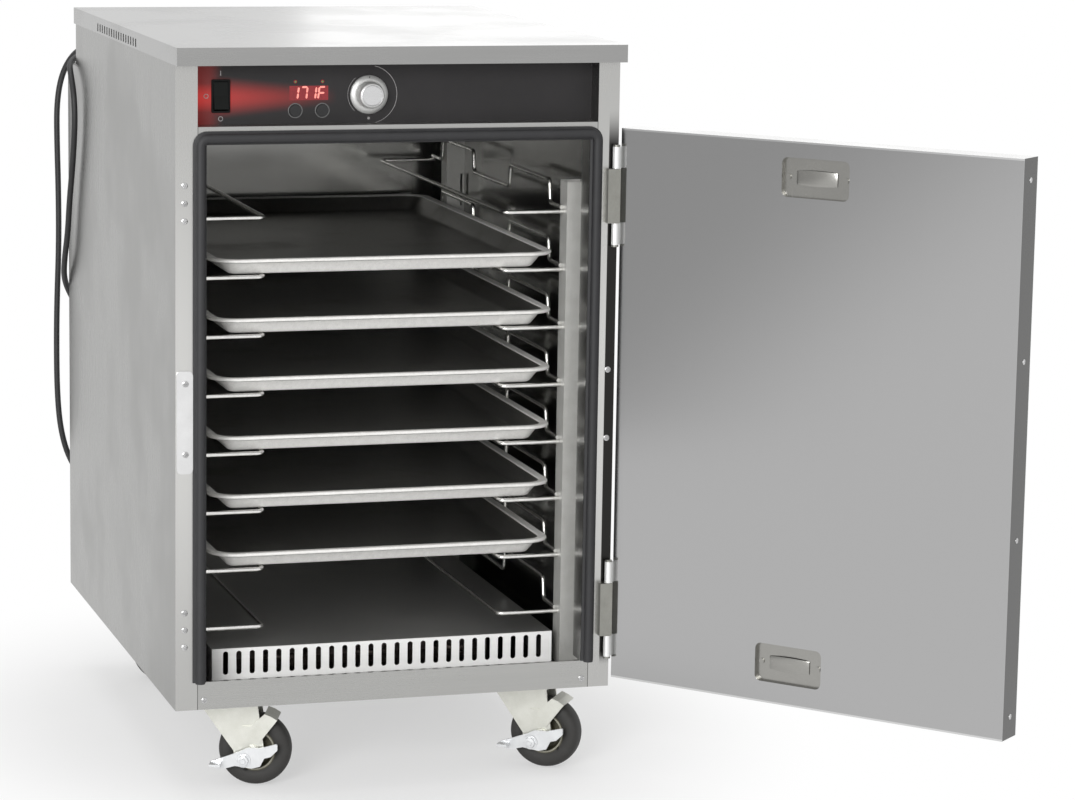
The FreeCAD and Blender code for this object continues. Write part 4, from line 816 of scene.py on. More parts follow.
def screw_head(middle: np.ndarray, axis: np.ndarray, across: np.ndarray, radius: float,
               height: float) -> Patch:
    """A domed head with a cross recess.

    Args:
        middle: Middle of the head's underside.
        axis: Way out of the head.
        across: A direction square to it.
        radius: Radius of the head.
        height: Height of the dome.

    Returns:
        A polar grid whose height is a dome less a smooth cross, which fades out at two thirds of the radius.
    """
    half_arm, soft_side, arm_end, soft_end = 0.17, 0.05, 0.68, 0.12
    fall, depth, rim = 0.75, 0.55, 0.35
    share = np.concatenate([[1.0, 1.0], np.linspace(0.97, 0.0, 15)])
    angle = np.linspace(0, math.tau, 48, endpoint=False)
    east, north = np.abs(share[:, None] * np.cos(angle)), np.abs(share[:, None] * np.sin(angle))
    arm = np.clip((half_arm - np.minimum(east, north)) / soft_side, 0, 1)
    recess = arm * np.clip((arm_end - share[:, None]) / soft_end, 0, 1)
    dome = height * np.sqrt(np.clip(1 - fall * share[:, None] ** 2, 0, 1))
    level = dome - depth * height * recess
    level[0] = 0.0
    level[1] = rim * height
    side = np.cross(axis, across)
    spoke = np.cos(angle)[:, None] * across + np.sin(angle)[:, None] * side
    grid = middle + (radius * share)[:, None, None] * spoke + level[..., None] * axis
    return lattice(grid, caps=True)


# Sub-assemblies


@dataclass
class Studio:
    """Camera, lamps, floor, grey card and white surroundings."""

    place: tuple[float, float, float] = (-1.2103, -4.9035, 1.3286)
    yaw: float = -17.16
    pitch: float = 9.85
    roll: float = -0.95
    lens: float = 124.6
    dim: float = 0.55
    near: tuple[float, float] = (0.38, 0.85)
    shade: float = 0.48
    floor_half: float = 7.0
    card_x: float = -2.2
    card_depth: tuple[float, float] = (-1.9, 1.2)
    card_top: float = 1.8
    card_fade: tuple[float, float] = (-1.30, -0.55)
    card_grey: Colour = (0.58, 0.58, 0.58)
    lamps: tuple = (
        ("lamp_front", (-2.7, -4.2, 1.8), (0.0, 0.0, 0.45), 2.0, 145.0),
        ("lamp_over", (0.0, 0.3, 3.2), (0.0, 0.0, 0.5), 2.6, 30.0),
        ("lamp_back", (1.5, 2.8, 1.75), (0.0, 0.0, 0.9), 1.8, 7.0),
    )

    def camera(self) -> bpy.types.Object:
        """Sets the camera: forward from yaw and pitch, then a small roll about it.

        Returns:
            The camera.
        """
        yaw, pitch, roll = (math.radians(angle) for angle in (self.yaw, self.pitch, self.roll))
        level_ahead = math.cos(pitch) * np.array([-math.sin(yaw), math.cos(yaw), 0.0])
        ahead = level_ahead - math.sin(pitch) * Z
        right = np.array([math.cos(yaw), math.sin(yaw), 0.0])
        down = np.cross(ahead, right)
        level = math.cos(roll) * right + math.sin(roll) * down
        upright = math.sin(roll) * right - math.cos(roll) * down
        lens = bpy.data.cameras.new("camera")
        lens.sensor_fit = "HORIZONTAL"
        lens.sensor_width = 36.0
        lens.lens = self.lens
        camera = bpy.data.objects.new("camera", lens)
        turn = Matrix(np.stack([level, upright, -ahead], axis=1).tolist()).to_4x4()
        camera.matrix_world = Matrix.Translation(self.place) @ turn
        bpy.context.collection.objects.link(camera)
        bpy.context.scene.camera = camera
        return camera

    @staticmethod
    def lamp(name: str, place: Sequence[float], target: Sequence[float], size: float, power: float) -> None:
        """A square soft lamp.

        Args:
            name: Its name.
            place: Where it stands.
            target: Where it points.
            size: Side of the square.
            power: Watts.
        """
        light = bpy.data.lights.new(name, "AREA")
        light.size = size
        light.energy = power
        lamp = bpy.data.objects.new(name, light)
        lamp.location = place
        lamp.rotation_euler = (Vector(target) - Vector(place)).to_track_quat("-Z", "Y").to_euler()
        bpy.context.collection.objects.link(lamp)

    @staticmethod
    def shown(shader: Shader) -> Value:
        """1 for what the camera, a reflection or clear plastic sees directly."""
        rays = [shader.add("ShaderNodeLightPath", {}, {}, name)
                for name in ("Is Camera Ray", "Is Glossy Ray", "Is Transmission Ray")]
        return rays[0].largest(rays[1]).largest(rays[2])

    def surroundings(self) -> None:
        """White world for the eye, and a softer light for the object."""
        world = bpy.data.worlds.new("surroundings")
        shader = Shader(world)
        soft, full = (shader.add("ShaderNodeBackground", {}, {"Color": WHITE, "Strength": strength})
                      for strength in (self.dim, 1.0))
        both = shader.add("ShaderNodeMixShader", {}, {0: self.shown(shader), 1: soft, 2: full})
        shader.add("ShaderNodeOutputWorld", {}, {"Surface": both})
        bpy.context.scene.world = world

    @staticmethod
    def sheet(name: str, grid: np.ndarray, material: bpy.types.Material) -> bpy.types.Object:
        """An open sheet of the studio.

        Args:
            name: Its name.
            grid: Its points, rows by columns by 3.
            material: Its material.

        Returns:
            The object.
        """
        patch = lattice(grid, ring=False)
        mesh = bpy.data.meshes.new(name)
        mesh.from_pydata(patch.points.tolist(), [], patch.faces)
        mesh.materials.append(material)
        sheet = bpy.data.objects.new(name, mesh)
        bpy.context.collection.objects.link(sheet)
        return sheet

    def floor(self) -> None:
        """Pale floor that keeps a soft shadow near the object and turns white further out."""
        span = np.linspace(-self.floor_half, self.floor_half, 9)
        grid = np.stack(np.meshgrid(span, span, [-0.0005], indexing="ij"), axis=-1)[:, :, 0]
        material = bpy.data.materials.new("floor_finish")
        shader = Shader(material)
        mottle = shader.noise(shader.place(), 3.0, 2.0, 0.5)
        colour = shader.ramp(mottle, (0.3, (0.86, 0.86, 0.86)), (0.7, (0.9, 0.9, 0.9)))
        paint = shader.add("ShaderNodeBsdfDiffuse", {}, {"Color": colour})
        white = shader.add("ShaderNodeEmission", {}, {"Color": WHITE, "Strength": 1.0})
        near = shader.place((1.25, 1.0, 1.0))
        reach = shader.add("ShaderNodeVectorMath", {"operation": "LENGTH"}, {0: near}, "Value")
        share = self.shown(shader) * (self.shade + (1.0 - self.shade) * reach.step(*self.near))
        both = shader.add("ShaderNodeMixShader", {}, {0: share, 1: paint, 2: white})
        shader.add("ShaderNodeOutputMaterial", {}, {"Surface": both})
        floor = self.sheet("floor", grid, material)

    def card(self) -> None:
        """Grey card at the left that only polished metal shows: darkest at its top and back."""
        spans = np.linspace(*self.card_depth, 5), np.linspace(0.0, self.card_top, 5)
        depth, rise = np.meshgrid(*spans, indexing="ij")
        grid = np.stack([np.full_like(depth, self.card_x), depth, rise], axis=-1)
        material = bpy.data.materials.new("card_finish")
        shader = Shader(material)
        dark = (shader.axis("Y") + 1.1 * shader.axis("Z")).step(*self.card_fade)
        grey = shader.blend(dark, (1.0, 1.0, 1.0), self.card_grey)
        light = shader.add("ShaderNodeEmission", {}, {"Color": grey, "Strength": 1.0})
        shader.add("ShaderNodeOutputMaterial", {}, {"Surface": light})
        card = self.sheet("card", grid, material)
        card.visible_camera = card.visible_diffuse = card.visible_shadow = False

    def build(self) -> None:
        """Camera first, then the light."""
        self.camera()
        self.surroundings()
        self.floor()
        self.card()
        for lamp in self.lamps:
            self.lamp(*lamp)
        bpy.context.scene.view_settings.view_transform = "Standard"


@dataclass
class PowerCord:
    """Rubber mains lead from the gland, with its plug hanging behind the cabinet."""

    diameter: float = 0.0085
    length: float = 2.14
    route: tuple = (
        (-258.0, 726.0, 914.0), (-258.5, 750.0, 913.0), (-265.0, 775.0, 905.0), (-280.0, 796.0, 888.0),
        (-292.0, 806.0, 860.0), (-298.5, 807.0, 820.0), (-298.5, 806.0, 765.0), (-297.0, 805.0, 695.0),
        (-297.0, 804.0, 615.0), (-300.0, 806.0, 530.0), (-301.0, 806.0, 460.0), (-300.0, 807.0, 395.0),
        (-296.0, 806.0, 345.0), (-285.0, 807.0, 303.0), (-264.0, 809.0, 268.0), (-232.0, 809.0, 247.0),
        (-196.0, 808.0, 255.0), (-170.0, 806.0, 285.0), (-157.0, 803.0, 335.0), (-154.0, 797.0, 410.0),
        (-158.0, 791.0, 510.0), (-156.0, 788.0, 615.0), (-161.0, 788.0, 715.0), (-167.0, 789.0, 790.0),
        (-180.0, 788.0, 842.0), (-200.0, 786.0, 880.0), (-226.0, 774.0, 902.0), (-252.0, 754.0, 902.0),
        (-276.0, 734.0, 898.0), (-297.0, 710.0, 888.0), (-299.5, 683.0, 873.0), (-299.0, 662.0, 848.0),
        (-298.0, 660.0, 813.0), (-298.0, 669.0, 775.0), (-298.0, 686.0, 733.0), (-298.5, 705.0, 690.0),
        (-298.5, 719.0, 645.0), (-299.5, 742.0, 604.0), (-296.0, 771.0, 570.0), (-280.0, 791.0, 538.0),
        (-257.0, 797.0, 503.0), (-238.0, 798.0, 463.0), (-228.0, 797.0, 420.0), (-226.0, 797.0, 385.0),
        (-226.0, 797.0, 360.0),
    )

    def build(self) -> None:
        """One spline whose control points are the route's; the plug and gland keep their CAD shape."""
        points = np.array(self.route) / 1000 + np.array([0.0, FRONT, 0.0])
        curve = bpy.data.curves.new("mains_lead", "CURVE")
        curve.dimensions = "3D"
        spline = curve.splines.new("NURBS")
        spline.points.add(len(points) - 1)
        spline.points.foreach_set("co", np.concatenate([points, np.ones((len(points), 1))], axis=1).ravel())
        spline.order_u = 3
        spline.use_endpoint_u = True
        spline.resolution_u = 10
        curve.bevel_depth = self.diameter / 2
        curve.bevel_resolution = 5
        curve.use_fill_caps = True
        jacket = Moulding("jacket_finish", (0.018, 0.018, 0.019), 0.46, 1100.0, 0.00005, 0.25)
        curve.materials.append(jacket.material())
        lead = bpy.data.objects.new("mains_lead", curve)
        bpy.context.collection.objects.link(lead)
        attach(lead, "cabinet")
        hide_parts("power_cord")
        dress(Moulding("plug_finish", (0.02, 0.02, 0.021), 0.4, 900.0, 0.00005, 0.2),
              "power_plug", "cord_gland")
        LOG.info("mains_lead: %d points", len(points))


@dataclass
class Casing:
    """Outer skins, liner and what is inside the walls."""

    def build(self) -> None:
        """Dresses the skins, each with the brushing that its sheet shows."""
        # The side sheets carry a painted highlight on their front folds and painted shade beside the hinges.
        side = FoldedSide("side_finish", 0.27, (1.0, 0.998, 0.965), 0.3)
        dress(side, "side_panel_left", "side_panel_right")
        level = BrushedSteel("rail_finish", 0.42, (1.0, 0.998, 0.975), 0.3, Grain.ACROSS)
        dress(level, "rear_panel", "throat_trim", "module_deck", "bottom_panel", "base_channels")
        seamed = SeamedRail("seamed_rail_finish", 0.43, (1.0, 0.998, 0.97), 0.3, Grain.ACROSS,
                            end=float(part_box("bottom_rail")[1][0]))
        dress(seamed, "bottom_rail", "header_rail")
        dress(BrushedSteel("cover_finish", 0.35, (1.0, 0.998, 0.985), 0.28, Grain.ACROSS), "top_cover")
        liner = BrushedSteel("liner_finish", 0.33, (1.0, 0.997, 0.96), 0.18, Grain.ACROSS, 900.0,
                             depth=0.000006, smear=0.04, cloud=0.03)
        dress(liner, "cavity_liner")
        dress(Fibre(), "wall_insulation")
        # Painted shade: the door blanket is near-black so that it reads as shade inside the vent holes.
        dress(Fibre("door_blanket_painted_shade_finish", (0.07, 0.07, 0.07), (0.14, 0.138, 0.13)), "door_insulation")
        strike = PlatedMetal("strike_finish", (0.70, 0.70, 0.70), (0.76, 0.76, 0.76), 0.34, 0.8, 0.00001)
        dress(strike, "strike_plate")


@dataclass
class SealStrip:
    """Dark bulb seal up both sides of the opening and across its top."""

    width: float = 0.017
    thick: float = 0.0135
    corner: float = 0.0095
    bulb: float = 0.0062

    def build(self) -> None:
        """Carries a bulb-and-foot profile up one side, round two corners, and down the other."""
        low, high = (np.array(end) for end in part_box("door_gasket"))
        half = self.width / 2
        inner_x, top = high[0] - half, high[2] - half
        bend = np.radians(np.linspace(0, 90, 9))[:, None]
        turn = np.concatenate([np.cos(bend), np.sin(bend)], axis=1)
        right = np.array([inner_x - self.corner, top - self.corner]) + self.corner * turn
        left = right[::-1] * np.array([-1, 1])
        loop = np.concatenate([[(inner_x, low[2])], right, left, [(-inner_x, low[2])]])
        normal = np.concatenate([[(1.0, 0.0)], turn, turn[::-1] * np.array([-1, 1]), [(-1.0, 0.0)]])
        bulb = arc((0.0, self.thick - self.bulb), self.bulb, -35, 215, 22)
        foot = np.array([(-0.0056, 0.0030), (-half, 0.0022), (-half, 0.0),
                         (half, 0.0), (half, 0.0022), (0.0056, 0.0030)])
        profile = np.concatenate([bulb, foot])
        middle = np.array([0.0, high[1], 0.0])
        grid = carried(profile, loop, normal, middle, X, Z, -Y).transpose(1, 0, 2)
        rubber = Moulding("seal_finish", (0.020, 0.020, 0.022), 0.55, 1300.0, 0.00008, 0.2)
        piece("bulb_seal", [lattice(grid, caps=True)], [rubber], "cabinet", ["door_gasket"])


@dataclass
class ControlPanel:
    """Dark panel with the lit switch, display, two buttons and the knob."""

    rocker_x: float = -0.2256
    display_x: float = -0.1125
    knob_x: float = -0.0348
    height: float = 0.9015
    digit_height: float = 0.0148
    digit_width: float = 0.0076
    digit_pitch: float = 0.0114
    stroke: float = 0.0023
    slant: float = 0.12
    mark_rise: float = 0.0285
    lamp_side: float = 0.0175
    button_side: float = 0.0174

    def segments(self) -> list:
        """Bars of the reading, as pointed hexagons.

        Returns:
            One patch for each lit bar.
        """
        lit = ("bc", "abc", "bc", "aefg")
        tall, wide = self.digit_height / 2, self.digit_width / 2
        bars = {"a": (0, tall, 0), "b": (wide, tall / 2, 1), "c": (wide, -tall / 2, 1),
                "e": (-wide, -tall / 2, 1), "f": (-wide, tall / 2, 1), "g": (0, 0, 0)}
        patches = []
        for k, letters in enumerate(lit):
            for letter in letters:
                east, up, upright = bars[letter]
                reach = (tall if upright else self.digit_width) / 2 - 0.0002
                point = self.stroke / 2
                outline = np.array([(-reach, 0), (point - reach, point), (reach - point, point), (reach, 0),
                                    (reach - point, -point), (point - reach, -point)])
                outline = outline[:, ::-1] if upright else outline
                lean = self.slant * (outline[:, 1] + up)
                x = self.display_x + (k - 1.55) * self.digit_pitch + east + outline[:, 0] + lean
                z = self.height + 0.0027 + up + outline[:, 1]
                rows = [np.stack([x, np.full(6, PANEL_FACE - out), z], axis=1) for out in (-0.0002, 0.0004)]
                patches.append(lattice(np.stack(rows), caps=True))
        return patches

    def legends(self) -> list:
        """Marks beside the switch and the knob: a stroke, two rings, a dot and two arcs.

        Returns:
            The patches.
        """
        here = np.array([self.rocker_x, PANEL_FACE, self.height])
        stroke = plate(0.0006, 0.0030, 0.0004, 0.0003, 0.0001, here + self.mark_rise * Z, X, Z, -Y)
        wall = np.array([(0.0023, -0.0002), (0.0023, 0.0003), (0.0031, 0.0003), (0.0031, -0.0002)])
        ring = lattice(spun(wall, here - self.mark_rise * Z, -Y, X, 40), loop=True)
        power = lattice(spun(wall, here - 0.0185 * X, -Y, X, 40), loop=True)
        knob = np.array([self.knob_x, PANEL_FACE, self.height])
        dot = plate(0.0016, 0.0016, 0.0012, 0.0003, 0.0001, knob - 0.0300 * Z, X, Z, -Y)
        outer = self.dial_arc(knob, 0.0366, -82, 78, 0.0004, 0.0009)
        inner = self.dial_arc(knob, 0.0274, 130, 228, 0.0004, 0.0004)
        return [stroke, ring, power, dot, outer, inner]

    @staticmethod
    def dial_arc(middle: np.ndarray, radius: float, start: float, end: float, thin: float,
                 thick: float) -> Patch:
        """A printed arc about the knob.

        Args:
            middle: Middle of the arc on the panel.
            radius: Its radius.
            start: First angle, in degrees.
            end: Last angle, in degrees.
            thin: Width at the start.
            thick: Width at the end.

        Returns:
            A flat bar carried along the arc: middle + (radius + share of the width) spoke, off the panel.
        """
        angle = np.radians(np.linspace(start, end, 48))
        width = np.linspace(thin, thick, 48)
        spoke = np.cos(angle)[:, None] * X + np.sin(angle)[:, None] * Z
        corners = [(-0.5, -0.0002), (0.5, -0.0002), (0.5, 0.0003), (-0.5, 0.0003)]
        edges = [middle + (radius + across * width)[:, None] * spoke - out * Y for across, out in corners]
        return lattice(np.stack(edges, axis=1), caps=True)

    def lamps(self) -> list:
        """Two small domes above the display."""
        crown = arc((0.0, 0.0), 1.0, 0, 90, 8) * np.array([0.0015, 0.0010])
        dome = np.concatenate([[(0.0015, -0.0004)], crown])
        place = np.array([self.display_x, PANEL_FACE - 0.0002, self.height + 0.017])
        return [lattice(spun(dome, place + side * self.lamp_side * X, -Y, X, 24), caps=True)
                for side in (-1, 1)]

    def button_rings(self) -> list:
        """Light half-round rings about the two buttons."""
        section = arc((0.0088, 0.0), 0.0008, 0, 180, 8)
        profile = np.concatenate([section, section[::-1] * np.array([1, 0]) + np.array([0, -0.0002])])
        place = np.array([self.display_x, PANEL_FACE, self.height - 0.0194])
        return [lattice(spun(profile, place + side * self.button_side * X, -Y, X, 48), loop=True)
                for side in (-1, 1)]

    def knob(self) -> list:
        """Round metal grip on a bevelled skirt, with a bright cap and a notch to read it by."""
        middle = np.array([self.knob_x, PANEL_FACE - 0.0003, self.height])
        skirt = np.array([(0.0, 0.0), (0.0236, 0.0), (0.0245, 0.0006), (0.0245, 0.0016), (0.0240, 0.0024),
                          (0.0190, 0.0046), (0.0182, 0.0046), (0.0178, 0.0036)])
        grip = np.array([(0.0172, 0.0036), (0.0168, 0.0080), (0.0164, 0.0130), (0.0160, 0.0172),
                         (0.0152, 0.0184)])
        face = np.array([(0.0142, 0.0190), (0.0138, 0.0190), (0.0136, 0.0186)])
        body = lattice(spun(np.concatenate([skirt, grip, face]), middle, -Y, X, 96))
        cap = np.array([(0.0136, 0.0186), (0.0130, 0.0188), (0.0124, 0.0183), (0.0090, 0.0185),
                        (0.0, 0.0186)])
        lid = lattice(spun(cap, middle, -Y, X, 96), finish=1)
        mark = plate(0.0006, 0.0016, 0.0004, 0.0006, 0.0002, middle + 0.0214 * Z - 0.0031 * Y, X, Z, -Y, 2)
        return [body, lid, mark]

    def build(self) -> None:
        """Dresses the panel and adds its marks, lamps, rings and knob."""
        dress(LitPanel(), "control_fascia")
        bezel = Moulding("bezel_finish", (0.006, 0.006, 0.006), 0.42, 1300.0, 0.00004, 0.0, shine=0.12)
        dress(bezel, "rocker_bezel")
        rocker = Moulding("rocker_finish", (0.005, 0.006, 0.0055), 0.36, 1300.0, 0.00003, 0.0, shine=0.15)
        dress(rocker, "rocker_switch")
        dress(Glow("window_finish", (0.02, 0.004, 0.004), (0.27, 0.012, 0.018), 0.2), "display_module")
        dress(Moulding("button_finish", (0.014, 0.014, 0.015), 0.5, 1200.0, 0.00004, 0.1),
              "button_left", "button_right")
        dress(Moulding("board_finish", (0.03, 0.14, 0.05), 0.4, 500.0, 0.0001, coat=0.2), "control_board")
        black = Moulding("notch_finish", (0.018, 0.018, 0.019), 0.42, 1400.0, 0.00005, 0.15)
        satin = PlatedMetal("knob_finish", (0.56, 0.56, 0.55), (0.64, 0.64, 0.63), 0.4, 0.6, 0.00002)
        bright = BrushedSteel("cap_finish", 0.64, rough=0.26, grain=Grain.ACROSS, lines=2200.0)
        pale = Moulding("legend_finish", (0.36, 0.35, 0.35), 0.5, 900.0, 0.00002, 0.1)
        grey = Moulding("ring_finish", (0.15, 0.15, 0.15), 0.5, 900.0, 0.00002, 0.1)
        red = Glow("reading_finish", (0.5, 0.05, 0.05), (1.0, 0.42, 0.34))
        green = Glow("lamp_finish", (0.03, 0.12, 0.04), (0.03, 0.16, 0.04))
        piece("temperature_reading", self.segments(), [red], "cabinet")
        piece("panel_marks", self.legends(), [pale], "cabinet")
        piece("status_lamps", self.lamps(), [green], "cabinet")
        piece("button_rings", self.button_rings(), [grey], "cabinet")
        metals = [satin, bright, black]
        piece("turned_knob", self.knob(), metals, "knob", ["control_knob"])


@dataclass
class SheetPan:
    """Aluminium pan with leaning sides, round inside corners and a rolled rim."""

    half_x: float = 0.2056
    half_y: float = 0.3072
    corner: float = 0.014
    flare: float = 0.014
    lip: float = 0.009
    height: float = 0.022
    sheet: float = 0.0012
    bead: float = 0.0025
    heel: float = 0.0072
    neck: float = 0.0034
    wall_top: int = 8
    painted_shade_rows: tuple[int, int] = (22, 33)
    count: int = 6

    def profile(self) -> np.ndarray:
        """Section from the middle of the inside, over the rim, to the middle of the underside.

        Returns:
            Offset from the bottom's outline and height of each point.
        """
        lean = math.degrees(math.atan2(self.flare, self.height))
        edge = self.flare + self.lip - self.bead
        level = self.height - self.bead
        bend, fold = (-self.heel, self.heel), (self.flare - 0.0003, level - self.sheet)
        inside = arc(bend, self.heel - self.sheet, -90, -lean, 7)
        outside = arc(bend, self.heel, -lean, -90, 7)
        roll_in = arc(fold, self.neck, 180 - lean, 90, 5)
        roll = arc((edge, level), self.bead, 112, -150, 16)
        under = arc(fold, self.neck - self.sheet, 80, 180 - lean, 5)
        ends = [[(-0.0105, self.sheet)], inside, roll_in, roll, under, outside, [(-0.0105, 0.0)]]
        return np.concatenate(ends)

    def build(self) -> None:
        """Six pans, each on its own slides: a dark metal copy as painted shade inside and under the bead, and
        a paler matt copy as painted light on the rim and outside.
        """
        # One aluminium as two copies: a dark one of painted shade and a pale matt one of painted light.
        floor = UsedAluminium("pan_floor_finish", 0.40, 0.36, 0.35, 1.0)
        wall = UsedAluminium("pan_wall_finish", 0.88, 0.48, 0.12, 0.15)
        loop, normal = rounded_loop(self.half_x, self.half_y, self.corner, 12)
        for k in range(1, self.count + 1):
            node = "sheet_pan_%d" % k
            low, high = (np.array(end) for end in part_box(node))
            middle = np.array([(low[0] + high[0]) / 2, (low[1] + high[1]) / 2, low[2]])
            grid = carried(self.profile(), loop, normal, middle, X, Y, Z)
            ring = list(range(len(loop)))
            # Painted shade: the rows under the bead take the dark copy, as do the floor and lower inside
            # walls.
            start, end = self.painted_shade_rows
            patches = [Patch(grid[0], [ring[::-1]]), lattice(grid[:self.wall_top + 1]),
                       lattice(grid[self.wall_top:start + 1], finish=1), lattice(grid[start:end + 1]),
                       lattice(grid[end:], finish=1), Patch(grid[-1], [ring], 1)]
            piece("rolled_pan_%d" % k, patches, [floor, wall], "pan_%d" % k, [node])


@dataclass
class HotCavity:
    """Wire slides, their uprights, the heat cover and what is under it."""

    def build(self) -> None:
        """Dresses the nodes, which keep their CAD shapes."""
        wire = PlatedMetal("wire_finish", (0.70, 0.695, 0.675), (0.86, 0.855, 0.83), 0.2)
        dress(wire, "tray_slides_left", "tray_slides_right")
        upright = PlatedMetal("upright_finish", (0.50, 0.498, 0.475), (0.57, 0.568, 0.545), 0.40, 0.35,
                              0.00001)
        dress(upright, "slide_uprights")
        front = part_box("heat_cover")[0][1]
        # The guard's pale matt front is painted light and its darker top painted shade.
        guard = GuardSheet("guard_finish", 0.94, (1.0, 0.998, 0.985), 0.42, Grain.ACROSS, face=front)
        dress(guard, "heat_cover")
        dress(PlatedMetal("element_finish", (0.10, 0.085, 0.08), (0.24, 0.2, 0.18), 0.5), "heating_element")
        dress(PlatedMetal("probe_finish", (0.5, 0.5, 0.5), (0.7, 0.7, 0.7), 0.24), "temperature_probe")


@dataclass
class Door:
    """Open insulated door with two pressed vents, its handle and hinges."""

    angle: float = 131.0
    pin: tuple[float, float] = (0.2843, -0.3891)
    face: float = FRONT - 0.0138
    free_edge: float = -0.2817
    screw_heights: tuple[float, float] = (0.162, 0.8305)
    screw_back: float = 0.021
    screw_radius: float = 0.0035
    screw_dome: float = 0.0010
    damper_half: float = 0.0285
    damper_end: float = 0.0085
    damper_swell: float = 0.0012
    damper_bow: float = 0.0024
    damper_out: float = 0.0058
    vents: tuple = ((0.0005, 0.8125), (0.0200, 0.1870))

    def swung(self, points: np.ndarray) -> np.ndarray:
        """Turns points of the shut door open about its pin.

        Args:
            points: Points of any array shape, with the coordinates last.

        Returns:
            The points of the open door: the pin plus the turned way from the pin.
        """
        turn = np.radians(self.angle)
        cosine, sine = math.cos(turn), math.sin(turn)
        spin = np.array([[cosine, -sine, 0], [sine, cosine, 0], [0, 0, 1.0]])
        pin = np.array([*self.pin, 0.0])
        return pin + (points - pin) @ spin.T

    def dampers(self, metal: Finish) -> None:
        """Bowed strips on the vents: height over the length is a shallow arch, with rolled ends.

        Args:
            metal: Their finish.
        """
        for label, (shift, height) in zip(("upper", "lower"), self.vents):
            u = np.linspace(-1, 1, 33)[:, None]
            half = self.damper_end + self.damper_swell * (1 - u ** 2)
            crown = self.damper_bow * (1 - u ** 2) ** 0.8
            ring = np.array([(-1, 0.0), (1, 0.0), (1, 0.0006), (0.75, 0.0011), (-0.75, 0.0011), (-1, 0.0006)])
            x = shift + self.damper_half * u * np.ones((1, 6))
            z = height + half * ring[:, 0]
            y = self.face - self.damper_out + crown + ring[:, 1]
            grid = self.swung(np.stack([x, y * np.ones_like(x), z], axis=-1))
            node = "vent_damper_" + label
            strip = lattice(grid, caps=True)
            piece("bowed_damper_" + label, [strip], [metal], "damper_" + label, [node])

    def screws(self, metal: Finish) -> None:
        """Cross-recessed heads on the door's free edge.

        Args:
            metal: Their finish.
        """
        heads = []
        for z in np.linspace(*self.screw_heights, 4):
            middle = np.array([self.free_edge, self.face - self.screw_back, z])
            patch = screw_head(middle, -X, Z, self.screw_radius, self.screw_dome)
            heads.append(Patch(self.swung(patch.points), patch.faces))
        piece("door_edge_screws", heads, [metal], "door", ["door_screws"])

    def build(self) -> None:
        """Dresses the door and adds its formed pieces."""
        edge = self.swung(np.array([self.free_edge, self.face, 0.0]))
        way = self.swung(edge - X) - self.swung(edge)
        low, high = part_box("door_inner_panel")
        skin = EdgeHighlightSkin("door_finish", 0.43, (1.0, 1.0, 1.0), 0.16, depth=0.000002, smear=0.0, cloud=0.0,
                          lined=0.008, low=float(low[2]), high=float(high[2]))
        dress(skin, "door_inner_panel")
        pan = DoorPan("door_pan_finish", 0.33, (1.0, 0.998, 0.985), 0.24, way=tuple(way),
                      reach=float(edge @ way))
        dress(pan, "door_outer_pan")
        pressed = BrushedSteel("vent_finish", 0.34, (1.0, 0.985, 0.93), 0.24, Grain.ACROSS)
        dress(pressed, "vent_plates")
        dress(PlatedMetal("handle_finish", (0.45, 0.45, 0.45), (0.66, 0.66, 0.66), 0.3), "door_handle")
        # Painted highlight: the knuckles are a pale half-matt plate standing in for the bright reflection of
        # their plating.
        knuckle = PlatedMetal("knuckle_painted_highlight_finish", (0.84, 0.84, 0.83), (0.88, 0.88, 0.87), 0.36, 0.5, 0.000001)
        dress(knuckle, "hinge_door_leaves")
        block = PlatedMetal("hinge_block_finish", (0.27, 0.268, 0.245), (0.33, 0.328, 0.30), 0.34,
                            pit=0.00001)
        dress(block, "hinge_post_leaves")
        dress(Moulding("magnet_finish", (0.03, 0.03, 0.03), 0.6, 500.0, 0.0001, 0.3), "latch_magnet")
        self.dampers(pressed)
        self.screws(PlatedMetal("door_screw_finish", (0.45, 0.45, 0.45), (0.65, 0.65, 0.65), 0.25))


@dataclass
class FrontScrews:
    """Screws, plugs and rivets on the posts, strike plate and bottom rail."""

    hinges: tuple[float, float] = (0.771, 0.227)
    pitch: float = 0.0222
    latch: float = 0.499
    latch_spread: float = 0.045
    plug_x: float = -0.2776
    strike: tuple[float, float] = (-0.277, 0.003)
    post_x: float = 0.280
    rail: tuple[float, float] = (0.252, 0.134)
    radius: float = 0.004
    dome: float = 0.0018

    def build(self) -> None:
        """One domed head at each place, with its own stand-off from the front face."""
        heads = []
        for hinge in self.hinges:
            heads += [(self.plug_x, 0.0, hinge + step * self.pitch) for step in (-1, 0, 1)]
        for sign in (-1, 1):
            height = self.latch + sign * self.latch_spread
            low_screw = (sign * self.rail[0], 0.0, self.rail[1])
            heads += [(*self.strike, height), (self.post_x, 0.0, height), low_screw]
        patches = [screw_head(np.array([x, FRONT - out, z]), -Y, X, self.radius, self.dome)
                   for x, out, z in heads]
        metal = PlatedMetal("screw_finish", (0.42, 0.42, 0.42), (0.64, 0.64, 0.64), 0.26)
        piece("front_screw_heads", patches, [metal], "cabinet", ["frame_screws"])


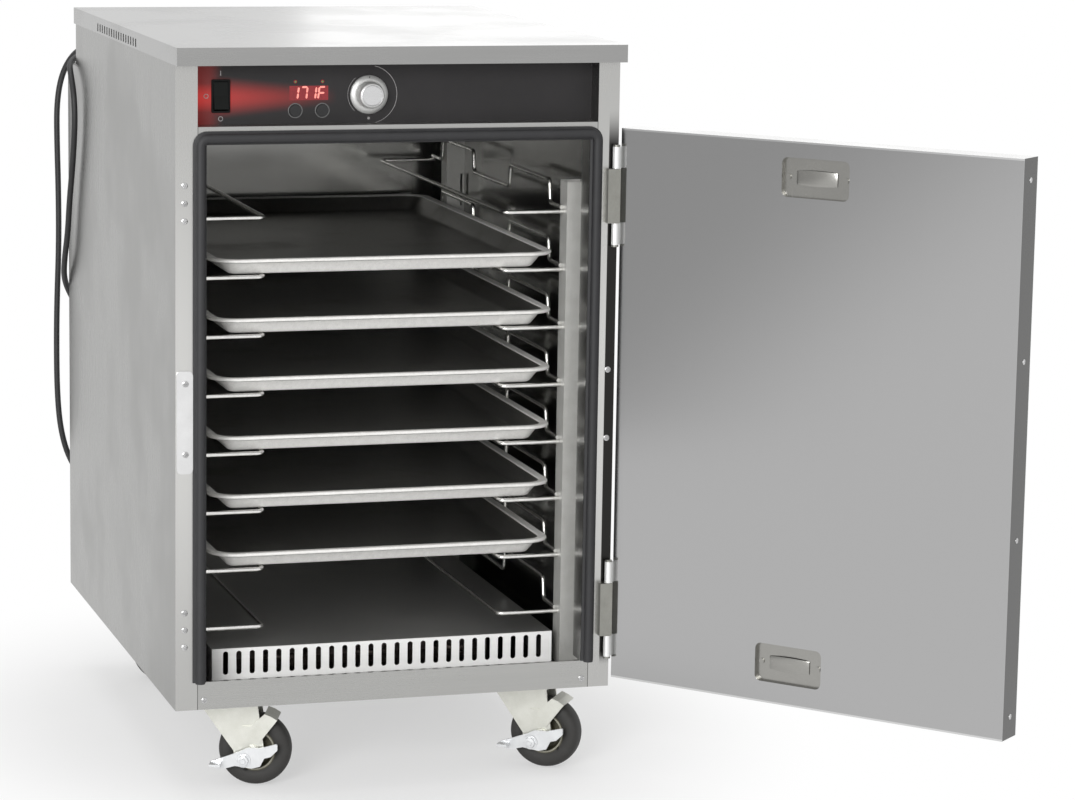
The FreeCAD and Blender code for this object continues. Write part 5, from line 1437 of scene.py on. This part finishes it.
@dataclass
class Castors:
    """Swivel castors: dressed forks, and turned wheels with a crowned tyre, a hub and pale rings."""

    stud: tuple[float, float] = (-0.0125, -0.010)
    stud_out: float = 0.0293
    count: int = 72
    angles: tuple = (("front_left", -20.0), ("front_right", -35.0),
                     ("rear_left", -60.0), ("rear_right", -28.0))

    def tyre(self) -> np.ndarray:
        """Section of the tyre: a crowned tread, round shoulders, and side walls with a step."""
        return np.array([
            (0.0280, -0.0132), (0.0315, -0.0146), (0.0350, -0.0150), (0.0400, -0.0148), (0.0440, -0.0132),
            (0.0462, -0.0102), (0.0472, -0.0060), (0.0476, 0.0), (0.0472, 0.0060), (0.0462, 0.0102),
            (0.0440, 0.0132), (0.0400, 0.0148), (0.0350, 0.0150), (0.0315, 0.0146), (0.0280, 0.0132),
        ])

    def hub(self) -> np.ndarray:
        """Section of the hub: bore, boss, dished web and rim."""
        side = np.array([(0.0051, 0.0176), (0.0110, 0.0176), (0.0118, 0.0160), (0.0126, 0.0060),
                         (0.0140, 0.0036), (0.0220, 0.0032), (0.0240, 0.0060), (0.0250, 0.0130),
                         (0.0280, 0.0132)])
        return np.concatenate([side * np.array([1, -1]), side[::-1]])

    def rims(self) -> list:
        """Sections of the thin pale rings on both sides of the hub."""
        ring = np.array([(0.0246, 0.0126), (0.0246, 0.0136), (0.0252, 0.0141), (0.0262, 0.0141),
                         (0.0268, 0.0136), (0.0268, 0.0126)])
        return [ring, ring * np.array([1, -1])]

    def nut(self, axle: np.ndarray, wheel: np.ndarray) -> list:
        """Washer and six-sided nut on the lever's stud.

        Args:
            axle: Unit vector of the wheel's axle.
            wheel: Middle of the wheel.

        Returns:
            Turned patches: the nut's outline is a hexagon whose upper edge is cut back to a circle.
        """
        along = np.cross(axle, Z)
        middle = wheel + self.stud[0] * along + self.stud[1] * Z - self.stud_out * axle
        washer = np.array([(0.0064, 0.0), (0.0096, 0.0), (0.0098, 0.0004), (0.0096, 0.0009),
                           (0.0064, 0.0009)])
        angle = np.linspace(0, math.tau, 48, endpoint=False)
        hexagon = 1 / np.cos((angle + math.pi / 6) % (math.pi / 3) - math.pi / 6)
        body = np.array([(0.0066, 0.0009), (0.0066, 0.0048), (0.0065, 0.0056), (0.0044, 0.0058)])
        share = np.array([1.0, 1.0, 0.25, 0.0])[:, None]
        tip = np.array([(0.0038, 0.0056), (0.0038, 0.0074), (0.0032, 0.0080), (0.0, 0.0080)])
        return [lattice(spun(washer, middle, -axle, Z, 48), loop=True),
                lattice(spun(body, middle, -axle, Z, 48, 1 + share * (hexagon - 1)), caps=True),
                lattice(spun(tip, middle, -axle, Z, 48), caps=True)]

    def build(self) -> None:
        """Turns each wheel about its own axle, and puts the nuts on the front levers."""
        cream = PlatedMetal("fork_finish", (0.60, 0.60, 0.545), (0.68, 0.68, 0.63), 0.38, 0.75, 0.00002)
        dress(cream, "caster_mounts", *["caster_fork_" + corner for corner, _ in self.angles])
        zinc = PlatedMetal("zinc_finish", (0.69, 0.70, 0.71), (0.76, 0.77, 0.78), 0.34, 0.75, 0.00002)
        dress(zinc, "brake_lever_front_left", "brake_lever_front_right")
        tread = Moulding("tread_finish", (0.028, 0.027, 0.025), 0.6, 800.0, 0.00012, 0.3)
        hub = Moulding("hub_finish", (0.075, 0.068, 0.040), 0.45, 900.0, 0.00005, 0.2)
        rim = Moulding("rim_finish", (0.34, 0.33, 0.27), 0.45, 900.0, 0.00005, 0.2)
        for corner, angle in self.angles:
            node = "caster_wheel_" + corner
            low, high = (np.array(end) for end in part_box(node))
            turn = math.radians(angle)
            axle = np.array([-math.sin(turn), math.cos(turn), 0.0])
            middle = (low + high) / 2
            sections = [(self.tyre(), 0), (self.hub(), 1), *[(ring, 2) for ring in self.rims()]]
            patches = [lattice(spun(section, middle, axle, Z, self.count), loop=True, finish=finish)
                       for section, finish in sections]
            finishes = [tread, hub, rim]
            piece("turned_wheel_" + corner, patches, finishes, "wheel_" + corner, [node])
            if corner.startswith("front"):
                piece("lever_nut_" + corner, self.nut(axle, middle), [zinc], "caster_" + corner)


def main() -> None:
    """Builds the scene in order."""
    logging.basicConfig(level=logging.INFO, format="%(message)s")
    Studio().build()
    for part in (PowerCord(), Casing(), SealStrip(), ControlPanel(), SheetPan(), HotCavity(), Door(),
                 FrontScrews(), Castors()):
        part.build()
        LOG.info("built %s", type(part).__name__)


if __name__ == "__main__":
    main()
